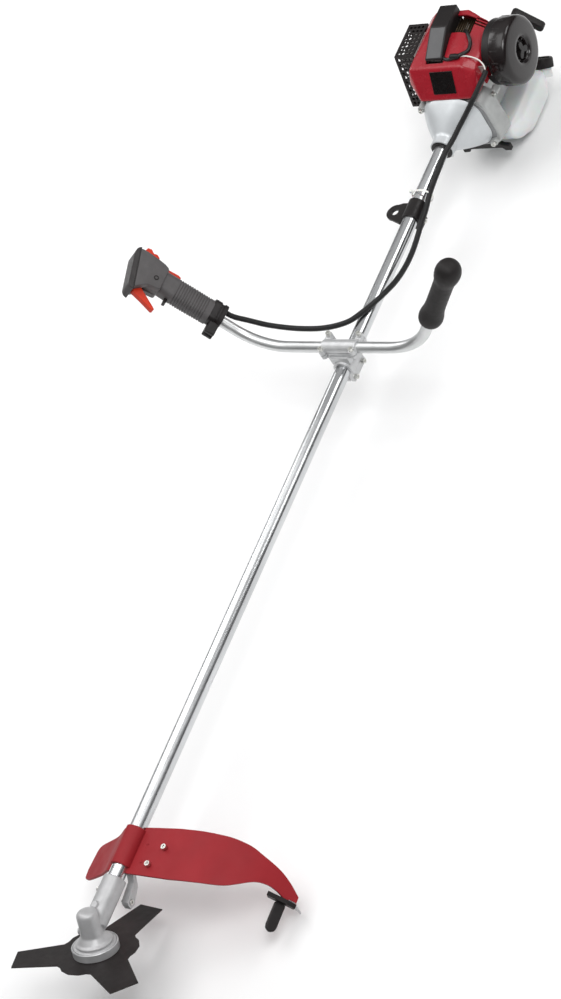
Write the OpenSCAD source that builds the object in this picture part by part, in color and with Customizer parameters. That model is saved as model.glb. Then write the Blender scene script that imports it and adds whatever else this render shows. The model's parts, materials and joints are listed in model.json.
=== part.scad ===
// Petrol brush cutter with a three-tooth blade, a loop-type handlebar and a two-stroke engine.
// Shaft frame: +X runs from the cutting head to the engine along the shaft, +Z is up, and +Y is
// the operator's right. Its zero is where the shaft axis meets the blade spindle axis.
// The part's own origin is the eye of the harness bracket.

/* [Shaft] */
// Outer diameter of the shaft tube
tube_d = 26; // [26:0.5:26]
// Wall of the shaft tube
tube_wall = 1.5; // [1.2:0.1:1.8]
// Where the tube ends, inside the clutch housing
tube_end = 1512; // [1508:1:1514]
// Diameter of the solid drive shaft
drive_d = 8; // [8:0.5:8]

/* [Cutting head] */
// Angle between the shaft and the blade spindle
head_angle = 58; // [57:0.5:59]
// Outer diameter of the blade
blade_d = 255; // [230:1:255]
// Bore of the blade
blade_bore = 25.4; // [25.4:0.1:25.4]
// Thickness of the blade
blade_t = 1.6; // [1.4:0.1:1.8]
// Turn of the first tooth from straight back
blade_turn = -1.5; // [-60:0.5:60]

/* [Handlebar] */
// Place of the handlebar along the shaft
bar_x = 1043; // [900:1:1080]
// Height of the handlebar above the shaft axis
bar_z = 33; // [33:0.5:34]
// Outer diameter of the handlebar
bar_d = 19; // [19:0.5:19]
// Half of the straight middle stretch
bar_half = 100; // [90:1:110]
// Radius of each bend
bar_bend_r = 113; // [100:1:120]
// Angle through which each end rises
bar_rise = 52; // [45:1:55]
// Backward lean of the handlebar
bar_lean = 2.5; // [0:0.5:6]

/* [Engine] */
// Crank centre along the shaft
crank_x = 1650; // [1650:1:1650]
// Radius of the clutch housing rim
rim_r = 53; // [52:0.5:54]
// Radius of the air filter cover
filter_r = 60; // [54:1:62]

/* [Hidden] */
$fn = 64;
fit = 0.05;
tube_r = tube_d / 2;
drive_r = drive_d / 2;
bar_r = bar_d / 2;
eye = [1358, 38, 0];
eye_r = 6.75;
screw_r = 2.5;
screw_head_r = 4.25;
screw_head_h = 5;

// Bevel gears: cone angles from the tooth counts and the shaft angle
pinion_teeth = 15;
wheel_teeth = 20;
wheel_cone = atan(sin(head_angle) / (pinion_teeth / wheel_teeth + cos(head_angle)));
pinion_cone = head_angle - wheel_cone;
cone_in = 14;
cone_out = 20.8;

// ---------- frames ----------

// A colour, and the shift from the shaft frame to the harness eye
module part(shade) color(shade) translate(-eye) children();

// Along the spindle: z runs up the spindle from the crossing of the two axes
module head_frame() rotate([0, 90 - head_angle, 0]) children();

// On the handlebar's middle: z is up in the handlebar's own plane
module bar_frame() translate([bar_x, 0, bar_z]) rotate([0, bar_lean, 0]) children();

arm_y = bar_half + bar_bend_r * sin(bar_rise);
arm_z = bar_bend_r * (1 - cos(bar_rise));

// At the start of an arm: z runs out along the arm, x points back
module arm_frame(side) bar_frame() translate([0, side * arm_y, arm_z]) rotate([-side * (90 - bar_rise), 0, 0])
    children();

// ---------- shared shapes ----------

module rod_x(x0, x1, r) translate([x0, 0, 0]) rotate([0, 90, 0]) cylinder(h = x1 - x0, r = r);

module ring(z0, z1, r_out, r_in) difference() {
    translate([0, 0, z0]) cylinder(h = z1 - z0, r = r_out);
    translate([0, 0, z0 - 1]) cylinder(h = z1 - z0 + 2, r = r_in);
}

module ring_x(x0, x1, r_out, r_in) difference() {
    rod_x(x0, x1, r_out);
    rod_x(x0 - 1, x1 + 1, r_in);
}

module box(a, b) translate(a) cube(b - a);

// Corners of a rectangle with round corners
function round_rect(a, b, r, n = 6) = [
    for (c = [[b[0] - r, b[1] - r, 0], [a[0] + r, b[1] - r, 90], [a[0] + r, a[1] + r, 180],
        [b[0] - r, a[1] + r, 270]])
        for (i = [0 : n]) [c[0] + r * cos(c[2] + 90 * i / n), c[1] + r * sin(c[2] + 90 * i / n)]];

// Extrudes an outline drawn in x and z along +Y
module slab_y(points, y0, y1) translate([0, y1, 0]) rotate([90, 0, 0]) linear_extrude(y1 - y0) polygon(points);

// Extrudes an outline drawn in y and z along +X
module slab_x(points, x0, x1) translate([x0, 0, 0]) rotate([90, 0, 90]) linear_extrude(x1 - x0) polygon(points);

// Smallest solid that holds small cubes at the given corners
module corner_hull(corners, edge = 0.2) hull() for (c = corners) translate(c) cube(edge, center = true);

function unit(v) = v / norm(v);
function way(path, i) = unit(path[min(i + 1, len(path) - 1)] - path[max(i - 1, 0)]);

// Tube along a path, with one ring of points at each of its corners
module swept_tube(path, r, sides) {
    n = len(path);
    rings = [for (i = [0 : n - 1]) let (d = way(path, i), u = unit(cross(d, [0.3, -0.2, 1])), v = cross(d, u))
        for (k = [0 : sides - 1]) path[i] + r * (cos(360 * k / sides) * u + sin(360 * k / sides) * v)];
    walls = [for (i = [0 : n - 2]) for (k = [0 : sides - 1]) let (a = i * sides + k, b = i * sides + (k + 1) % sides)
        each [[a, b + sides, b], [a, a + sides, b + sides]]];
    caps = [[for (k = [0 : sides - 1]) k], [for (k = [0 : sides - 1]) n * sides - 1 - k]];
    polyhedron(points = rings, faces = concat(walls, caps), convexity = 10);
}

// Socket cap screw whose head sits on z = 0, its shank pointing down
module cap_screw(length) {
    translate([0, 0, -length]) cylinder(h = length, r = screw_r);
    difference() {
        cylinder(h = screw_head_h, r = screw_head_r);
        translate([0, 0, screw_head_h - 2.4]) cylinder(h = 3, r = 2.3, $fn = 6);
    }
}

module screw_hole(length) translate([0, 0, -length - 0.5]) cylinder(h = length + 20, r = screw_r + 0.1);

// ---------- fasteners: places where a screw's head rests ----------

bar_screw_spots = [for (x = [-14, 20]) for (y = [-35, 25]) [x, y]];
rim_spots = [[1556, -58, -51], [1556, 44, -44], [1556, 46, 40]];
starter_screw_angles = [45, 135, 230, 310];
deck_screw_spots = [for (x = [-28, 28]) for (y = [-28, 28]) [x, y]];

module at_bar_screws() for (s = bar_screw_spots) bar_frame() translate([s[0], s[1], 9]) children();
module at_tube_screws() for (x = [-16, 16]) translate([bar_x + x, -9, -24]) rotate([90, 0, 0]) children();
module at_harness_screw() translate([eye[0], -7, -22.5]) rotate([90, 0, 0]) children();
module at_guard_screws() for (p = [[146, -64], [116, -48]]) translate([p[0], p[1], 1.5]) children();
module at_bracket_screw() translate([67, -16, -32]) rotate([90, 0, 0]) children();
module at_socket_screw() translate([66, 17.5, 0]) rotate([-90, 0, 0]) children();
module at_rim_screws() for (s = rim_spots) translate(s) rotate([0, -90, 0]) children();
module at_boss_screw() translate([1596, -80, 30]) rotate([0, -90, 0]) children();
module at_collar_screw() translate([1508, 8, -25.5]) rotate([-90, 0, 0]) children();
module at_starter_screws() for (a = starter_screw_angles)
    translate([1738, 0, 0]) rotate([a, 0, 0]) translate([0, 45, 0]) rotate([0, 90, 0]) children();

module cap_screws() part("silver") {
    at_bar_screws() cap_screw(16);
    at_tube_screws() cap_screw(16);
    at_harness_screw() cap_screw(14);
    at_guard_screws() cap_screw(9);
    at_bracket_screw() cap_screw(14);
    at_socket_screw() cap_screw(4);
    at_rim_screws() cap_screw(18);
    at_boss_screw() cap_screw(12);
    at_collar_screw() cap_screw(14);
    at_starter_screws() cap_screw(50);
}

// ---------- shaft ----------

module shaft_tube() part("gainsboro") ring_x(56, tube_end, tube_r, tube_r - tube_wall);

module drive_shaft() part("dimgray") rod_x(14, 1531, drive_r);

module shaft_bushes() part("saddlebrown") for (x = [330, 690, 1043, 1370])
    ring_x(x, x + 22, tube_r - tube_wall, drive_r + fit);

// ---------- cutting head ----------

module gearcase() part("lightgray") difference() {
    union() {
        rod_x(12, 86, 17.5);
        head_frame() rotate_extrude() polygon([[0, -18], [28, -18], [28, -14.5], [24, -12.5], [17.5, -4],
            [16.5, 6], [16.5, 28], [15.5, 31.5], [13, 34], [9, 35.3], [0, 36]]);
        translate([66, 0, 0]) rotate([-90, 0, 0]) cylinder(h = 17.5, r = 7);
        translate([34, 0, 0]) cylinder(h = 21, r = 6);
        head_frame() rotate([0, 0, 110]) translate([12, 0, 2]) rotate([0, 90, 0]) cylinder(h = 8, r = 5);
    }
    rod_x(0, 56.01, 11);
    rod_x(28, 56.01, 13);
    rod_x(56, 90, tube_r);
    head_frame() translate([0, 0, -19]) cylinder(h = 50.5, r = 13);
    at_socket_screw() screw_hole(4);
}

// Bevel gear with straight teeth, its cone's tip at zero and its back at z = back
module bevel(teeth, cone, back, bore, phase) {
    root = 0.9;
    tip = 0.62;
    width = 1.05;
    along = [sin(cone), cos(cone)];
    across = [cos(cone), -sin(cone)];
    inner = cone_in * along - root * across;
    outer = cone_out * along - root * across;
    difference() {
        rotate_extrude() polygon([[0, inner[1]], inner, outer, [outer[0], back], [0, back]]);
        translate([0, 0, -1]) cylinder(h = back + 2, r = bore);
    }
    for (i = [0 : teeth - 1]) rotate([0, 0, phase + i * 360 / teeth]) rotate([0, cone, 0])
        translate([-root - 0.4, -width / 2, cone_in]) cube([root + 0.4 + tip, width, cone_out - cone_in]);
}

module pinion_gear() part("slategray") rotate([0, 90, 0])
    bevel(pinion_teeth, pinion_cone, 27, drive_r, 180 + 180 / pinion_teeth);

module bevel_gear() part("slategray") head_frame() bevel(wheel_teeth, wheel_cone, 23.5, 6, 0);

module spindle() part("dimgray") head_frame() {
    translate([0, 0, -32.2]) cylinder(h = 63.2, r = 6);
    translate([0, 0, -52]) cylinder(h = 19.81, r = 5);
}

module gearcase_bearings() part("silver") {
    for (x = [29, 42]) ring_x(x, x + 9, 13, drive_r + fit);
    head_frame() for (z = [-16, 24]) ring(z, z + 7, 13, 6 + fit);
}

module blade_holder() part("silver") head_frame() difference() {
    union() {
        translate([0, 0, -32.2]) cylinder(h = 3.4, r = 35);
        translate([0, 0, -32.2]) cylinder(h = 13, r = 35);
        translate([0, 0, -34.6]) cylinder(h = 4, r = blade_bore / 2);
    }
    difference() {
        translate([0, 0, -28.8]) cylinder(h = 12, r = 32.5);
        translate([0, 0, -29]) cylinder(h = 11.3, r = 11.5);
    }
    translate([0, 0, -40]) cylinder(h = 30, r = 6);
}

// Outline of one third of the blade, from one root to the next
function blade_third(turn) = [for (p = [[60, -35], [62, -28], [blade_d / 2, -11], [blade_d / 2, 8.5], [62, 28],
    [60, 35], [63, 45], [64.5, 60], [63, 75]]) p[0] * [cos(p[1] + turn), sin(p[1] + turn)]];

module blade() part([0.12, 0.11, 0.11]) head_frame() translate([0, 0, -32.2 - blade_t]) rotate([0, 0, blade_turn])
    linear_extrude(blade_t) difference() {
        polygon([for (k = [0 : 2]) each blade_third(120 * k)]);
        circle(r = blade_bore / 2);
    }

module blade_nut() part("dimgray") head_frame() difference() {
    union() {
        translate([0, 0, -36.8]) cylinder(h = 4.6 - blade_t, r = 20);
        translate([0, 0, -46]) cylinder(h = 9.5, r = 9.8, $fn = 6);
    }
    translate([0, 0, -50]) cylinder(h = 40, r = 5);
    translate([0, 0, -34.6]) cylinder(h = 4, r = blade_bore / 2);
}

// ---------- guard ----------

guard_t = 2.6;
// Across the guard: place in y, front edge, back edge, height of the front and of the back edge
guard_stations = [
    [109, 116, 147, -60, -62], [100, 98, 157, -54, -57], [52, 98, 163, -25, -27], [21, 97, 169, 0, 0],
    [0, 97, 171, 0, 0], [-25, 98, 174.5, 0, 0], [-76, 99.5, 180.1, 0, 0], [-85, 100, 181, -1, -1],
    [-110, 103, 183.5, -4, -4], [-135, 107, 185.5, -10, -10], [-155, 111.5, 187.5, -19, -19],
    [-170, 117, 187.5, -28, -28], [-185, 127, 185.5, -38, -38], [-200, 139.5, 180, -52, -52],
    [-212, 144, 175.5, -66, -66], [-222, 142.5, 170, -80, -80], [-232, 137, 160.5, -96, -96],
    [-240, 139, 150, -110, -110]];

// A plate through the stations, with one vertical face at each end
module station_plate(stations, thick) {
    n = len(stations);
    corners = [for (s = stations) each [[s[1], s[0], s[3]], [s[2], s[0], s[4]],
        [s[2], s[0], s[4] - thick], [s[1], s[0], s[3] - thick]]];
    sides = [for (i = [0 : n - 2]) for (j = [0 : 3]) let (a = 4 * i + j, b = 4 * i + (j + 1) % 4)
        each [[a, b, b + 4], [a, b + 4, a + 4]]];
    ends = [[3, 2, 1, 0], [for (j = [0 : 3]) 4 * (n - 1) + j]];
    polyhedron(points = corners, faces = concat(sides, ends), convexity = 6);
}

module guard() part("firebrick") difference() {
    union() {
        station_plate(guard_stations, guard_t);
        rod_x(106, 168, 16.4);
    }
    rod_x(90, 200, tube_r);
    box([90, -13.2, -30], [200, 13.2, 0]);
    box([90, -19, -40], [200, 19, -2.62]);
    at_guard_screws() screw_hole(9);
}

module guard_bracket() part("lightgray") difference() {
    union() {
        rod_x(104, 152, 16.8);
        box([106, -74, -6], [156, 10, -2.7]);
        slab_y([[58, -37], [66, -40], [92, -31], [112, -5], [104, -5], [92, -20], [62, -24]], -20, -8);
        translate([67, -8, -32]) rotate([90, 0, 0]) cylinder(h = 12, r = 8);
    }
    rod_x(60, 200, tube_r);
    box([90, -30, -2.7], [170, 30, 30]);
    at_guard_screws() screw_hole(9);
    at_bracket_screw() translate([0, 0, -8]) screw_hole(8);
    at_bracket_screw() cylinder(h = 20, r = screw_head_r + 0.4);
    head_frame() translate([0, 0, -60]) cylinder(h = 120, r = 37);
}

module line_cutter() part("silver") difference() {
    slab_x([[-240, -108], [-229, -92], [-222, -98], [-226, -122], [-231, -142]], 138, 140.4);
    station_plate(guard_stations, guard_t);
}

module cutter_cover() part([0.1, 0.1, 0.1]) difference() {
    union() {
        slab_x([[-213, -72], [-236, -96], [-243, -108], [-238, -112], [-209, -82]], 131, 137.9);
        translate([133, -226, -94]) rotate([47, 0, 0]) box([-42, -7, -6], [0, 7, -1]);
    }
    station_plate(guard_stations, guard_t);
}

// ---------- handlebar ----------

// Middle line of the handlebar, each end run on by a given length
function bar_points(left, right) = concat(
    [[0, -arm_y - left * cos(bar_rise), arm_z + left * sin(bar_rise)]],
    [for (i = [13 : -1 : 0]) let (a = bar_rise * i / 13)
        [0, -bar_half - bar_bend_r * sin(a), bar_bend_r * (1 - cos(a))]],
    [for (i = [0 : 13]) let (a = bar_rise * i / 13)
        [0, bar_half + bar_bend_r * sin(a), bar_bend_r * (1 - cos(a))]],
    [[0, arm_y + right * cos(bar_rise), arm_z + right * sin(bar_rise)]]);

module handlebar() part("gainsboro") bar_frame() difference() {
    swept_tube(bar_points(182, 116), bar_r, 32);
    swept_tube(bar_points(183, 117), bar_r - 1.5, 32);
}

module bar_clamp_cap() part("lightgray") difference() {
    bar_frame() union() {
        intersection() {
            translate([0, 28, 0]) rotate([90, 0, 0]) cylinder(h = 66, r = 13);
            box([-20, -40, 0.6], [20, 40, 20]);
        }
        for (s = bar_screw_spots) translate([s[0], s[1], 0.6]) cylinder(h = 8.4, r = 5.8);
        for (y = [-35, 25]) box([-14, y - 5.8, 0.6], [20, y + 5.8, 7]);
    }
    bar_frame() translate([0, 50, 0]) rotate([90, 0, 0]) cylinder(h = 100, r = bar_r);
    at_bar_screws() screw_hole(16);
}

module bar_clamp_base() part("lightgray") difference() {
    union() {
        bar_frame() {
            for (s = bar_screw_spots) translate([s[0], s[1], -8]) cylinder(h = 7.4, r = 5.8);
            for (y = [-35, 25]) box([-14, y - 5.8, -8], [20, y + 5.8, -0.6]);
            box([-13, -38, -12], [13, 28, -0.6]);
            box([-17, -19, -24], [19, 17, -8]);
        }
        rod_x(bar_x - 22, bar_x + 24, 17.5);
        box([bar_x - 22, -9, -30], [bar_x + 24, 9, -12]);
    }
    rod_x(bar_x - 60, bar_x + 60, tube_r);
    box([bar_x - 60, -1.5, -40], [bar_x + 60, 1.5, 0]);
    bar_frame() translate([0, 50, 0]) rotate([90, 0, 0]) cylinder(h = 100, r = bar_r);
    at_bar_screws() screw_hole(16);
    at_tube_screws() screw_hole(16);
}

module left_grip() part([0.1, 0.1, 0.1]) arm_frame(-1) difference() {
    rotate_extrude() polygon([[0, 27], [13, 27], [18, 32], [20, 42], [19.5, 50], [17.5, 60], [16.5, 75],
        [16.5, 140], [17.5, 149], [20, 158], [20.7, 168], [19.5, 178], [15.5, 186], [9, 190.5], [0, 192]]);
    translate([0, 0, 20]) cylinder(h = 162, r = bar_r);
}

// ---------- throttle handle ----------

trigger_pin = [-14, 173];
lever_pin = [18, 160];
handle_half = 17;
head_half = 19;
head_outline = [[-20, 142], [-22, 162], [-35.5, 175.5], [36, 195.9], [41, 184], [38, 161], [31, 152], [24.5, 144]];

// Pocket for the trigger, the throttle lever hubs and the lock-out lever
module handle_pocket() {
    slab_y([[-60, 134], [-60, 165], [-33, 172.5], [-26, 176], [30, 191], [34, 168], [34, 112], [12, 112],
        [12, 122], [-10, 122], [-10, 145], [-24, 162]], -7, 7);
    translate([-40, 0, 125]) rotate([0, 90, 0]) cylinder(h = 40, r = 3.3);
    slab_y([[28, 165], [28, 185], [60, 185], [60, 165]], -3.4, 3.4);
}

module handle_solid() {
    linear_extrude(100) translate([0, 0]) polygon(round_rect([-19, -handle_half], [24, handle_half], 12));
}

// One half of the handle: side -1 faces the shaft, side +1 faces away
module handle_half_shell(side) difference() {
    union() {
        translate([0, 0, 52]) handle_solid();
        slab_y(head_outline, -head_half, head_half);
        translate([0, 0, 26]) linear_extrude(26) polygon(round_rect([-15, -16], [27, 16], 10));
        slab_y([[-14, 26], [-36, 30], [-38, 46], [-20, 52], [-14, 52]], -10, 10);
    }
    if (side > 0) box([-100, -60, 0], [100, 0.05, 260]);
    if (side < 0) box([-100, -0.05, 0], [100, 60, 260]);
    translate([0, 0, 10]) cylinder(h = 108, r = bar_r);
    translate([19, 0, 10]) cylinder(h = 48, r = 5.1);
    handle_pocket();
    at_handle_screws() screw_hole(2 * head_half);
}

// Handle screws: the first is also the trigger's pivot
module at_handle_screws() {
    for (p = [trigger_pin, lever_pin, [26, 186]])
        translate([p[0], -head_half + 4, p[1]]) rotate([90, 0, 0]) children();
    translate([-29, -10 + 4, 39]) rotate([90, 0, 0]) children();
}

module handle_screws() part([0.15, 0.15, 0.15]) arm_frame(1) {
    for (p = [trigger_pin, lever_pin, [26, 186]]) translate([p[0], -head_half + 4, p[1]]) rotate([90, 0, 0])
        small_screw(2 * head_half - 6);
    translate([-29, -10 + 4, 39]) rotate([90, 0, 0]) small_screw(14);
}

module small_screw(length) difference() {
    union() {
        translate([0, 0, -length]) cylinder(h = length, r = screw_r);
        cylinder(h = 2.5, r = screw_r);
    }
    translate([0, 0, 1]) cylinder(h = 3, r = 1.4, $fn = 6);
}

module handle_body() part([0.2, 0.2, 0.2]) arm_frame(1) handle_half_shell(-1);

module handle_cover() part([0.2, 0.2, 0.2]) arm_frame(1) handle_half_shell(1);

module handle_lid() part([0.15, 0.15, 0.15]) arm_frame(1)
    slab_y([[-36.6, 176], [-45.5, 179.5], [-44.5, 187], [-40, 192.5], [18, 208], [29, 205.5], [35.4, 196.6]],
        -head_half, head_half);

module throttle_trigger() part("orangered") arm_frame(1) difference() {
    union() {
        translate([trigger_pin[0], 5.5, trigger_pin[1]]) rotate([90, 0, 0]) cylinder(h = 11, r = 6);
        slab_y([[-16, 167], [-13, 178], [-25, 175], [-36, 167], [-47, 151], [-54, 137], [-52, 133.5], [-47, 135],
            [-39, 148], [-30.6, 160.2]], -5.5, 5.5);
    }
    translate([trigger_pin[0], 20, trigger_pin[1]]) rotate([90, 0, 0]) cylinder(h = 40, r = screw_r + fit);
}

module trigger_spring() part("silver") arm_frame(1) translate([trigger_pin[0], 6.9, trigger_pin[1]])
    rotate([90, 0, 0]) ring(0, 1.1, 5, 3);

module lockout_lever() part("orangered") arm_frame(1) difference() {
    union() {
        translate([lever_pin[0], 5.5, lever_pin[1]]) rotate([90, 0, 0]) cylinder(h = 11, r = 5.5);
        slab_y([[16, 163], [23.5, 163], [26, 159], [29, 143], [30, 125], [28, 119.5], [22, 120], [20.5, 143],
            [14, 157]], -5.5, 5.5);
    }
    translate([lever_pin[0], 20, lever_pin[1]]) rotate([90, 0, 0]) cylinder(h = 40, r = screw_r + fit);
}

module stop_switch() part("orangered") arm_frame(1) {
    slab_y([[41.4, 184], [41.4, 188], [45.5, 187.5], [44.5, 183], [46, 178], [43.5, 174], [40.8, 173.8]], -6, 6);
    box([33, -2.5, 174], [41.5, 2.5, 181]);
}

module idle_lock_button() part([0.1, 0.1, 0.1]) arm_frame(1) {
    translate([-28, 0, 125]) rotate([0, 90, 0]) cylinder(h = 16, r = 3);
    box([-31, -4, 122.5], [-27, 4, 127.5]);
}

// ---------- throttle cable ----------

conduit_r = 4.6;
conduit_route = [
    [1065, 210, 102.3], [1064.8, 205, 96], [1064.6, 200.1, 89.7], [1066.5, 193, 81], [1072, 180, 67],
    [1080, 158, 45], [1086, 130, 30], [1089, 100, 23],
    [1092, 68, 20], [1098, 40, 19], [1108, 16, 19], [1124, 0, 19], [1146, -16, 18.5], [1172, -27, 15],
    [1202, -32, 8], [1236, -31, 0], [1272, -28, -5], [1305, -25, -5], [1335, -23, -2], [1362, -23, 2],
    [1392, -21, 7], [1420, -20, 9], [1446, -21, 12], [1468, -23, 16], [1486, -26, 18], [1502, -31, 21],
    [1520, -39, 29], [1538, -54, 44], [1552, -69, 60], [1563, -77, 69], [1575, -83, 76], [1588, -87, 80],
    [1598, -88, 82]];

module throttle_conduit() part([0.1, 0.1, 0.1]) swept_tube(conduit_route, conduit_r, 10);

// ---------- harness bracket ----------

module harness_bracket() part([0.1, 0.1, 0.1]) difference() {
    union() {
        rod_x(eye[0] - 19, eye[0] + 19, 16);
        translate([0, 0, -2.5]) linear_extrude(5) polygon([[eye[0] - 19, 12], [eye[0] - 25, 20],
            [eye[0] - 12, 48.6], [eye[0] + 12, 48.6], [eye[0] + 19, 28], [eye[0] + 19, 12]]);
        translate([eye[0], eye[1], -2.5]) cylinder(h = 5, r = 16);
        box([eye[0] - 12, -7, -30], [eye[0] + 12, 7, -12]);
    }
    rod_x(eye[0] - 60, eye[0] + 60, tube_r);
    translate([eye[0], eye[1], -10]) cylinder(h = 20, r = eye_r);
    box([eye[0] - 40, -1.2, -40], [eye[0] + 40, 1.2, 0]);
    at_harness_screw() screw_hole(14);
}

// ---------- clutch and engine, from front to back ----------

module oval_plate(x, t, a, b, r) slab_x(round_rect(a, b, r), x, x + t);

module fan_housing() part("gainsboro") difference() {
    union() {
        rod_x(1497, 1524, 21.5);
        hull() {
            rod_x(1512, 1513, 21.5);
            oval_plate(1534, 0.5, [-44, -39], [37, 38], 33);
        }
        hull() {
            oval_plate(1533.5, 0.5, [-44, -39], [37, 38], 33);
            oval_plate(1561.5, 0.5, [-69, -58], [48, 57], 38);
        }
        box([1499, -8, -31], [1517, 8, -14]);
        for (s = rim_spots) translate([1556, s[1], s[2]]) rod_x(0, 6, 6.5);
    }
    rod_x(1480, tube_end, tube_r);
    rod_x(tube_end - 1, 1533, 8 + fit);
    rod_x(1532, 1570, 31);
    box([1480, -1.5, -40], [tube_end, 1.5, 0]);
    slab_x(round_rect([-58, -47], [40, 47], 30), 1554, 1570);
    at_rim_screws() screw_hole(18);
    at_collar_screw() screw_hole(14);
}

module clutch_drum() part("slategray") difference() {
    union() {
        rod_x(1514, 1534, 8);
        rod_x(1533.5, 1552.5, 29.5);
    }
    rod_x(1510, 1531, drive_r);
    rod_x(1536.5, 1560, 27);
}

module clutch_shoes() part("peru") for (side = [0, 180]) rotate([side, 0, 0]) difference() {
    ring_x(1538.5, 1551.5, 25.5, 14);
    box([1530, -40, -40], [1560, 40, 3]);
}

module flywheel() part("silver") difference() {
    union() {
        rod_x(1556, 1567, 39.4);
        rod_x(1546, 1573, 12);
        for (i = [0 : 17]) rotate([20 * i, 0, 0]) box([1566, 20, -1.2], [1586, 39, 1.2]);
    }
    rod_x(1540, 1600, 7);
}

crankcase_front = round_rect([-74, -64], [52, 48], 24);
crankcase_rear = round_rect([-42, -52], [42, 40], 14);

module front_pocket() difference() {
    slab_x(round_rect([-69.5, -59.5], [47.5, 43.5], 20), 1555, 1596);
    rod_x(1550, 1600, 49);
    for (s = rim_spots) translate([1562, s[1], s[2]]) rod_x(-10, 14, 7);
}

module rear_pocket() difference() {
    slab_x(round_rect([-38, -48], [38, 36], 10), 1606, 1700);
    rod_x(1600, 1710, 31.5);
    at_starter_screws() translate([0, 0, -150]) cylinder(h = 160, r = 6.5);
    translate([crank_x, 0, 0]) cylinder(h = 60, r = 28);
}

module crankcase() part("darkgray") difference() {
    union() {
        slab_x(crankcase_front, 1562, 1601);
        slab_x(crankcase_rear, 1600, 1696);
        for (s = rim_spots) translate([1562, s[1], s[2]]) rod_x(0, 14, 6.5);
        translate([0, -80, 30]) rod_x(1596, 1606, 6.5);
        translate([0, 0, 0]) box([1596, -80, 23.5], [1601, -70, 36.5]);
        translate([crank_x, 0, 0]) linear_extrude(46) polygon(round_rect([-37, -37], [37, 37], 8));
    }
    rod_x(1555, 1595, 45);
    front_pocket();
    rear_pocket();
    rod_x(1590, 1614, 8.05);
    rod_x(1613, 1687, 27.5);
    rod_x(1686, 1700, 8.05);
    translate([crank_x, 0, 0]) cylinder(h = 60, r = 24);
    at_rim_screws() screw_hole(18);
    at_boss_screw() screw_hole(12);
    at_starter_screws() screw_hole(52);
}

crank_throw = 14;

module crankshaft() part("slategray") {
    rod_x(1550, 1632, 7);
    rod_x(1668, 1716, 7);
    for (x = [1631, 1658]) rod_x(x, x + 11, 25);
    translate([0, 0, crank_throw]) rod_x(1641, 1659, 5);
}

module connecting_rod() part("silver") difference() {
    union() {
        for (z = [crank_throw, 70]) translate([crank_x - 5, 0, z]) rotate([0, 90, 0]) cylinder(h = 10, r = 8);
        box([crank_x - 3, -5, crank_throw], [crank_x + 3, 5, 70]);
    }
    translate([0, 0, crank_throw]) rod_x(1600, 1700, 5 + fit);
    translate([0, 0, 70]) rod_x(1600, 1700, 4);
}

module piston() part("silver") difference() {
    union() {
        difference() {
            translate([crank_x, 0, 56]) cylinder(h = 28, r = 20);
            translate([crank_x, 0, 50]) cylinder(h = 30, r = 17);
        }
        translate([0, 0, 70]) rod_x(crank_x - 19, crank_x + 19, 4);
    }
    translate([0, 0, 70]) rod_x(crank_x - 2, crank_x + 2, 2);
}

module cylinder_fins() for (i = [0 : 8]) translate([crank_x, 0, 52 + 7 * i])
    linear_extrude(2.2) polygon(round_rect([-40, -36], [40, 36], 9 - i % 2));

plug_lean = 62;
module plug_frame() translate([crank_x + 2, 0, 106]) rotate([0, plug_lean, 0]) children();

module cylinder_block() difference() {
    union() {
        translate([crank_x, 0, 46]) cylinder(h = 60, r = 24);
        translate([crank_x, 0, 46]) linear_extrude(5) polygon(round_rect([-34, -34], [34, 34], 6));
        cylinder_fins();
        translate([crank_x, 0, 62]) rotate([90, 0, 0]) cylinder(h = 46, r = 13);
        translate([crank_x, 0, 62]) rotate([-90, 0, 0]) cylinder(h = 48, r = 13);
    }
    translate([crank_x, 0, 40]) cylinder(h = 58, r = 20.05);
    translate([crank_x, 0, 62]) rotate([90, 0, 0]) cylinder(h = 60, r = 8);
    translate([crank_x, 0, 62]) rotate([-90, 0, 0]) cylinder(h = 60, r = 8);
    plug_frame() translate([0, 0, -6]) cylinder(h = 60, r = 7.05);
    plug_frame() translate([0, 0, 12]) cylinder(h = 60, r = 11.5);
}

// The cylinder is named after the engine part; the solid itself is made above
module engine_cylinder() part("dimgray") cylinder_block();

module spark_plug() part("white") plug_frame() {
    translate([0, 0, -4]) cylinder(h = 17, r = 7);
    translate([0, 0, 12.5]) cylinder(h = 7, r = 10, $fn = 6);
    translate([0, 0, 19]) cylinder(h = 17, r = 5);
}

module plug_cover() part([0.13, 0.13, 0.13]) difference() {
    slab_y([[1598, 112], [1598, 118], [1653, 141], [1704, 141], [1704, 112]], -17, 17);
    slab_y([[1590, 115], [1600.5, 115], [1654, 138.3], [1701.5, 138.3], [1701.5, 100], [1590, 100]], -14.5, 14.5);
}

badge_lean = atan(25.6 / 50.5);

// Corners of the red engine shroud, moved out by a wall thickness
function shroud_corners(w) = [
    [1563 - w, 46 + w, 40], [1563 - w, -62 - w, 40], [1572, -71 - w, 40], [1574, 58 + w, 40],
    [1563 - w, 46 + w, 58], [1563 - w, -62 - w, 58], [1572, -71 - w, 58], [1574, 58 + w, 58],
    [1700 + w, 58 + w, 40], [1700 + w, -71 - w, 40], [1590, -71 - w, 92], [1588.6 - w, 44 + w, 106 + w],
    [1588.6 - w, -52 - w, 106 + w], [1582, 56 + w, 74], [1700 + w, 58 + w, 86], [1694, -71 - w, 98],
    [1622, -71 - w, 96], [1700 + w, 44 + w, 114], [1640, 30, 118 + w], [1640, -34, 118 + w],
    [1700 + w, 30, 124 + w], [1700 + w, -34, 124 + w]];

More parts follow.
